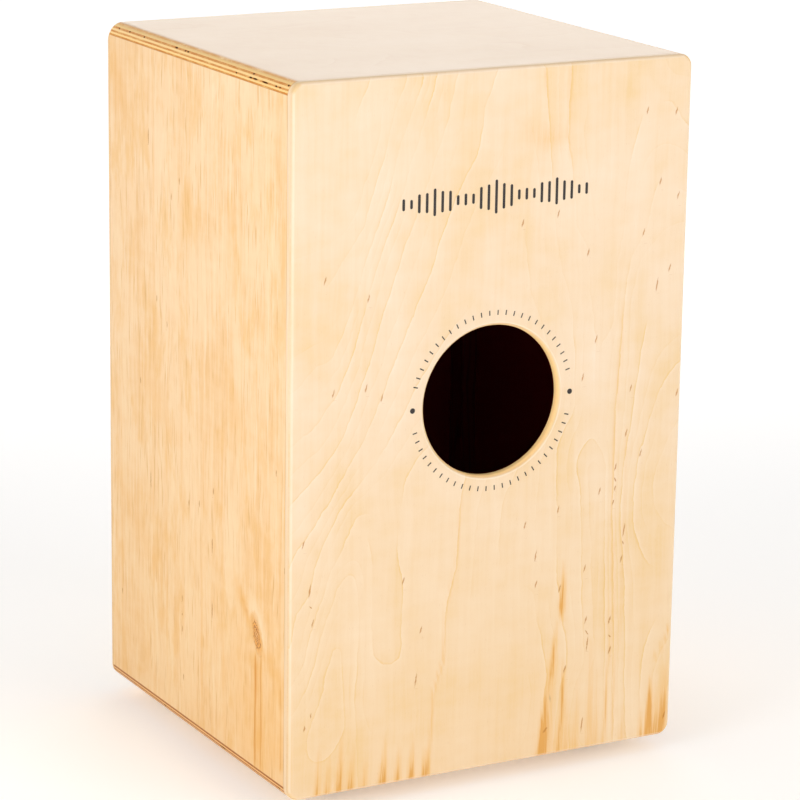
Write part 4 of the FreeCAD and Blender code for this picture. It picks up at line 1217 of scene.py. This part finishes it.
def hole_profile():
    """(y, radius) of the sound hole's cutter, both rims rounded."""
    inner = HOLE_RADIUS + HOLE_IN_ROUND
    outer = HOLE_RADIUS + REAR_ROUND
    profile = [(REAR_IN - 1.0, inner), (REAR_IN, inner)]
    for degrees in (15, 30, 45, 60, 75, 90):
        angle = math.radians(degrees)
        profile.append((REAR_IN + HOLE_IN_ROUND - math.cos(angle), inner - math.sin(angle)))
    for degrees in range(0, 91, 9):
        angle = math.radians(degrees)
        y = REAR_START + REAR_ROUND * math.sin(angle)
        profile.append((y, outer - REAR_ROUND * math.cos(angle)))
    return profile + [(REAR_OUT + 1.0, outer)]


def rear_board(veneer=1.3, count=5):
    solid = envelope()
    keep(solid, 1, REAR_IN, None)
    cutter = bmesh.new()
    lathe_y(cutter, HOLE_X, HOLE_Z, hole_profile(), segments=144)
    bounds = [
        (
            REAR_OUT - veneer * (k + 1) if k < count - 1 else None,
            REAR_OUT - veneer * k if k > 0 else None,
        )
        for k in range(count)
    ]
    for k, shape in enumerate(split_y(cut(solid, cutter), bounds)):
        if k == 0:
            grid(shape, 0, np.arange(-150, 151, 2.0))
            grid(shape, 2, np.arange(18, 497, 6.0))
        name = f"rear_veneer_{k + 1}"
        material = birch(
            name,
            grain="z" if k % 2 == 0 else "x",
            face="y",
            tone=REAR_TONE,
            seed=7.9 * k + 2.2,
            figure="attr" if k == 0 else "none",
            end=0.12,
            contrast=0.80,
            ring_gain=1.25,
            fibre=0.48,
            arris_highlight=0.38 if k < 3 else 0.0,
            hole=True,
            low=0.44,
            spec=0.38,
            lean=1.2,
        )
        piece = new_object(name, shape, [material])
        if k == 0:
            rear_figure(piece)
        place(piece, "rear_panel", "birch_plywood")


rear_board()

# ------------------------------------------------------------------ playing plate


def playing_plate(veneer=1.0, count=3):
    """Three veneers with a countersunk hole wherever the screw grid meets a CAD screw."""
    solid = envelope()
    keep(solid, 1, None, PLATE_IN)
    cutter = bmesh.new()
    verts = NODES["front_plate_screws"].data.vertices
    screws = np.array([vert.co for vert in verts]) * 1000.0
    profile = [
        (PLATE_OUT - 0.5, 3.72),
        (PLATE_OUT + 0.12, 3.72),
        (PLATE_OUT + 2.1, 1.75),
        (PLATE_IN + 0.5, 1.75),
    ]
    for x in (-138.0 + 92.0 * k for k in range(4)):
        for z in (26.0 + 115.0 * k for k in range(5)):
            if np.any(np.hypot(screws[:, 0] - x, screws[:, 2] - z) < 5.0):
                lathe_y(cutter, x, z, profile, segments=40)
    bounds = [
        (
            PLATE_OUT + veneer * k if k > 0 else None,
            PLATE_OUT + veneer * (k + 1) if k < count - 1 else None,
        )
        for k in range(count)
    ]
    for k, shape in enumerate(split_y(cut(solid, cutter), bounds)):
        name = f"plate_veneer_{k + 1}"
        material = birch(
            name,
            grain="z" if k % 2 == 0 else "x",
            face="y",
            tone=REAR_TONE,
            seed=9.1 * k + 60.0,
            figure="proc" if k == 0 else "none",
            end=0.5,
            contrast=0.9,
            fibre=0.6,
            ring_gain=1.4,
            arris_highlight=0.30,
            low=0.5,
        )
        place(new_object(name, shape, [material]), "front_plate", "birch_plate")


playing_plate()

# ------------------------------------------------------------------ printed marks


def print_mark(shape, points):
    """Adds a thin prism on the rear face from an outline in X and Z."""
    near, far = ([shape.verts.new((x, y, z)) for x, z in points] for y in PRINT_DEPTH)
    shape.faces.new(near)
    shape.faces.new(list(reversed(far)))
    for first, first_next, second_next, second in skin([near, far]):
        shape.faces.new((first, second, second_next, first_next))


def capsule(x, z, width, height, steps=6):
    radius = width / 2
    points = []
    for start, middle in ((0.0, z + height / 2 - radius), (math.pi, z - height / 2 + radius)):
        for k in range(steps + 1):
            angle = start + math.pi * k / steps
            points.append((x + radius * math.cos(angle), middle + radius * math.sin(angle)))
    return points


def print_bars(shape, count=25, half_span=70.0, z=414.0):
    """A row of upright bars in three swells."""
    middle = (count - 1) / 2
    for k in range(count):
        along = (k - middle) / middle
        swell = (0.5 + 0.5 * math.cos(3 * math.pi * along)) * (1 - 0.45 * abs(along))
        height = 5.0 + 15.0 * swell + (3.0 if k % 2 == 0 else 0.0)
        print_mark(shape, capsule(along * half_span, z, 2.0, height))


def print_ring(shape, count=60, radius=61.0, half_length=1.7, half_width=0.42, dot=1.9):
    """Ticks round the sound hole, with a dot in the gap on each side."""
    for k in range(count):
        angle = 2 * math.pi * (k + 0.5) / count
        cos, sin = math.cos(angle), math.sin(angle)
        if abs(sin) < 0.16:
            continue
        points = []
        for out, side in ((-1, -1), (1, -1), (1, 1), (-1, 1)):
            reach, off = radius + out * half_length, side * half_width
            points.append((HOLE_X + reach * cos - off * sin, HOLE_Z + reach * sin + off * cos))
        print_mark(shape, points)
    for side in (-1, 1):
        angles = [2 * math.pi * k / 28 for k in range(28)]
        middle = HOLE_X + side * radius
        points = [(middle + dot * math.cos(a), HOLE_Z + dot * math.sin(a)) for a in angles]
        print_mark(shape, points)


INK = ink("printed_ink")
for name, draw in (("rear_print_bars", print_bars), ("rear_print_ring", print_ring)):
    marks = bmesh.new()
    draw(marks)
    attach(new_object(name, marks, [INK], weighted=False), "box")

# ------------------------------------------------------------------ snare coils


def coil_set(node, material, count=10, spacing=3.4, radius=0.90, wire=0.19, pitch=1.25):
    """Ten upright wire coils side by side; wire is the wire's own radius."""
    low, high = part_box(node)
    bottom, top = low.z * 1000 + 0.3, high.z * 1000 - 0.3
    centre_x, centre_y = (low.x + high.x) * 500.0, (low.y + high.y) * 500.0
    segments, sides = 9, 4
    steps = int((top - bottom) / pitch) * segments
    shape = bmesh.new()
    for i in range(count):
        x = centre_x + (i - (count - 1) / 2) * spacing
        rings = []
        for k in range(steps + 1):
            angle = 2 * math.pi * k / segments + i * 0.7
            z = bottom + wire + (top - bottom - 2 * wire) * k / steps
            cos, sin = math.cos(angle), math.sin(angle)
            ring = []
            for q in range(sides):
                around = 2 * math.pi * (q + 0.5) / sides
                reach = radius + wire * math.cos(around)
                at = (x + reach * cos, centre_y + reach * sin, z + wire * math.sin(around))
                ring.append(shape.verts.new(at))
            rings.append(ring)
        shape.faces.new(list(reversed(rings[0])))
        for corners in skin(rings):
            shape.faces.new(corners)
        shape.faces.new(rings[-1])
    name = node.replace("wires", "coils")
    piece = new_object(name, shape, [material], smooth=80, weighted=False)
    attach(piece, "snare_bar_assembly")
    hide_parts(node)


WIRE = metal("bright_steel_wire", ((0.62, 0.62, 0.62), (0.80, 0.80, 0.79)), (0.22, 0.34))
for node in ("snare_wires_left", "snare_wires_right"):
    coil_set(node, WIRE)

# ------------------------------------------------------------------ finishes on the CAD parts

ZINC = metal("zinc_plate_finish", ((0.52, 0.54, 0.56), (0.72, 0.74, 0.75)), (0.30, 0.46))
ZINC_SCREW = metal(
    "zinc_screw_finish", ((0.50, 0.52, 0.55), (0.74, 0.75, 0.76)), (0.26, 0.42), scale=0.8
)
BLACK = metal(
    "black_screw_finish", ((0.020, 0.020, 0.022), (0.060, 0.058, 0.056)), (0.34, 0.50),
    metallic=0.75, scale=0.8,
)
NUT = metal(
    "wing_nut_finish", ((0.58, 0.58, 0.57), (0.76, 0.76, 0.74)), (0.32, 0.50),
    scale=0.5, bump=0.3,
)
STRIP = metal("snare_strip_finish", ((0.55, 0.55, 0.56), (0.74, 0.74, 0.74)), (0.28, 0.40))
# early wood pair and late wood colour; the first set, for the battens inside the drum, is near-black
# red as painted shade
SHADED_BATTEN_WOOD = (((0.160, 0.0085, 0.0070), (0.230, 0.0140, 0.0105)), (0.110, 0.0060, 0.0050))
HARDWOOD = (((0.50, 0.30, 0.16), (0.62, 0.41, 0.24)), (0.50, 0.27, 0.10))
FINISH = {
    "front_batten_top": pine("softwood_x", "x", 1.0, *SHADED_BATTEN_WOOD),
    "front_batten_bottom": pine("softwood_x2", "x", 5.0, *SHADED_BATTEN_WOOD),
    "front_batten_left": pine("softwood_z", "z", 2.0, *SHADED_BATTEN_WOOD),
    "front_batten_right": pine("softwood_z2", "z", 7.0, *SHADED_BATTEN_WOOD),
    "snare_bar": pine("hardwood_x", "x", 3.0, *HARDWOOD),
    "pivot_block_left": pine("hardwood_z", "z", 4.0, *HARDWOOD),
    "pivot_block_right": pine("hardwood_z2", "z", 6.0, *HARDWOOD),
    "front_plate_screws": BLACK,
    "bracket_screws": ZINC_SCREW,
    "snare_strip_screws": ZINC_SCREW,
    "foot_screws": ZINC_SCREW,
    "foot_washers": ZINC,
}
for side in ("left", "right"):
    FINISH[f"bar_bracket_{side}"] = ZINC
    FINISH[f"snare_strip_{side}"] = STRIP
    FINISH[f"pivot_bolt_{side}"] = ZINC_SCREW
    FINISH[f"pivot_washer_{side}"] = ZINC
    FINISH[f"wing_nut_{side}"] = NUT
FOOT = rubber("foot_rubber_finish")
for node in NODES:
    if node.startswith("foot_") and node not in FINISH:
        FINISH[node] = FOOT
for node, material in FINISH.items():
    part = NODES[node]
    if len(part.material_slots) == 0:
        part.data.materials.append(material)
    for slot in part.material_slots:
        slot.material = material

# ------------------------------------------------------------------ studio, in metres and watts

scene = bpy.context.scene
scene.view_settings.view_transform = "Standard"
scene.view_settings.look = "None"
scene.view_settings.exposure = 0.0
scene.view_settings.gamma = 1.0
scene.cycles.use_denoising = True


def build_world(horizon=0.55, zenith=0.50, backdrop=1.1):
    """A soft dome that lights the drum; the camera sees plain white instead."""
    world = bpy.data.worlds.new("studio")
    scene.world = world
    world.use_nodes = True
    nodes, link = world.node_tree.nodes, world.node_tree.links.new
    nodes.clear()
    output = nodes.new("ShaderNodeOutputWorld")
    dome = nodes.new("ShaderNodeBackground")
    dome.inputs["Color"].default_value = (1.0, 0.995, 0.99, 1)
    coords = nodes.new("ShaderNodeTexCoord")
    split = nodes.new("ShaderNodeSeparateXYZ")
    fade = nodes.new("ShaderNodeMapRange")
    for socket, value in zip(fade.inputs[1:5], (0.0, 0.9, horizon, zenith)):
        socket.default_value = value
    link(coords.outputs["Generated"], split.inputs[0])
    link(split.outputs[2], fade.inputs[0])
    link(fade.outputs[0], dome.inputs["Strength"])
    paper = nodes.new("ShaderNodeBackground")
    paper.inputs["Color"].default_value = (1, 1, 1, 1)
    paper.inputs["Strength"].default_value = backdrop
    ray = nodes.new("ShaderNodeLightPath")
    either = nodes.new("ShaderNodeMixShader")
    link(ray.outputs["Is Camera Ray"], either.inputs[0])
    link(dome.outputs[0], either.inputs[1])
    link(paper.outputs[0], either.inputs[2])
    link(either.outputs[0], output.inputs[0])


def build_floor():
    """White paper that glows more strongly away from the drum."""
    shape = bmesh.new()
    bmesh.ops.create_grid(shape, x_segments=8, y_segments=8, size=14.0)
    mesh = bpy.data.meshes.new("floor")
    shape.to_mesh(mesh)
    shape.free()
    floor = bpy.data.objects.new("floor", mesh)
    scene.collection.objects.link(floor)
    tree = Tree("floor_paper")
    cloud = tree.noise(tree.object_mm(), scale=0.002)
    x, y, _ = tree.separate(tree.scaled(tree.object_mm(), 0.001))
    tree.shade(
        Base_Color=tree.mix(cloud, (0.93, 0.93, 0.93), (0.95, 0.95, 0.95)),
        Roughness=0.9,
        Specular_IOR_Level=0.1,
        Emission_Color=(1.0, 1.0, 1.0, 1.0),
        Emission_Strength=tree.length(x, y).rise(0.5, 2.4, low=0.21, high=0.55),
    )
    mesh.materials.append(tree.material)


def aim(lamp, target):
    direction = Vector(target) - lamp.location
    lamp.rotation_euler = direction.to_track_quat("-Z", "Y").to_euler()


def area(name, at, target, size, power, color):
    """size: width and height of the lamp."""
    light = bpy.data.lights.new(name, "AREA")
    light.shape = "RECTANGLE"
    light.size, light.size_y = size
    light.energy, light.color = power, color
    lamp = bpy.data.objects.new(name, light)
    scene.collection.objects.link(lamp)
    lamp.location = at
    lamp.visible_camera = False
    aim(lamp, target)


def hole_beam():
    """A narrow beam that lights only the veneers behind the rear face, for the hole's wall."""
    light = bpy.data.lights.new("hole_beam", "SPOT")
    light.energy = 9.5
    light.color = (1.0, 0.95, 0.88)
    light.spot_size, light.spot_blend, light.shadow_soft_size = math.radians(16), 0.6, 0.03
    lamp = bpy.data.objects.new("hole_beam", light)
    scene.collection.objects.link(lamp)
    lamp.location = (0.75, 0.62, 0.42)
    aim(lamp, (-0.040, 0.141, 0.262))
    lit_only = bpy.data.collections.new("hole_wall")
    for piece in bpy.data.objects:
        if piece.name.startswith("rear_veneer_") and piece.name != "rear_veneer_1":
            lit_only.objects.link(piece)
    lamp.light_linking.receiver_collection = lit_only


build_world()
build_floor()
# name, place, target, size, power, colour
for lamp_row in (
    ("key_soft", (-1.2, 3.0, 1.2), (0, 0, 0.25), (2.2, 2.2), 37.3, (1.0, 0.985, 0.97)),
    ("side_soft", (1.1, 0.48, 0.50), (0.15, 0.1, 0.26), (0.6, 0.6), 4.65, (1.0, 0.98, 0.96)),
    ("back_sheen", (-0.88, -1.45, 0.90), (0, 0, 0.5), (1.0, 0.5), 3.5, (1.0, 0.97, 0.95)),
    ("top_soft", (-0.25, 0.1, 2.2), (0, 0, 0.5), (0.9, 0.9), 3.3, (1.0, 0.985, 0.96)),
    ("front_fill", (0.9, -2.6, 1.2), (0, 0, 0.27), (1.4, 1.4), 11.0, (1.0, 0.985, 0.97)),
):
    area(*lamp_row)
hole_beam()

# ------------------------------------------------------------------ camera

lens = bpy.data.cameras.new("camera")
lens.lens = 153.66748
lens.sensor_width = 36.0
lens.sensor_fit = "HORIZONTAL"
lens.clip_start, lens.clip_end = 0.05, 60.0
camera = bpy.data.objects.new("camera", lens)
scene.collection.objects.link(camera)
# the camera's own right, up and backward directions
right = Vector((-0.8781414483765357, 0.47818152493852606, 0.01449226865006601))
upward = Vector((-0.10937996445047253, -0.23017379700843943, 0.9669829608361933))
backward = Vector((0.4657291273046741, 0.8475626539543749, 0.2544286296819665))
pose = Matrix((right, upward, backward)).transposed().to_4x4()
pose.translation = Vector((1.12376356, 2.06162469, 0.85804585))
camera.matrix_world = pose
scene.camera = camera

bpy.context.view_layer.update()
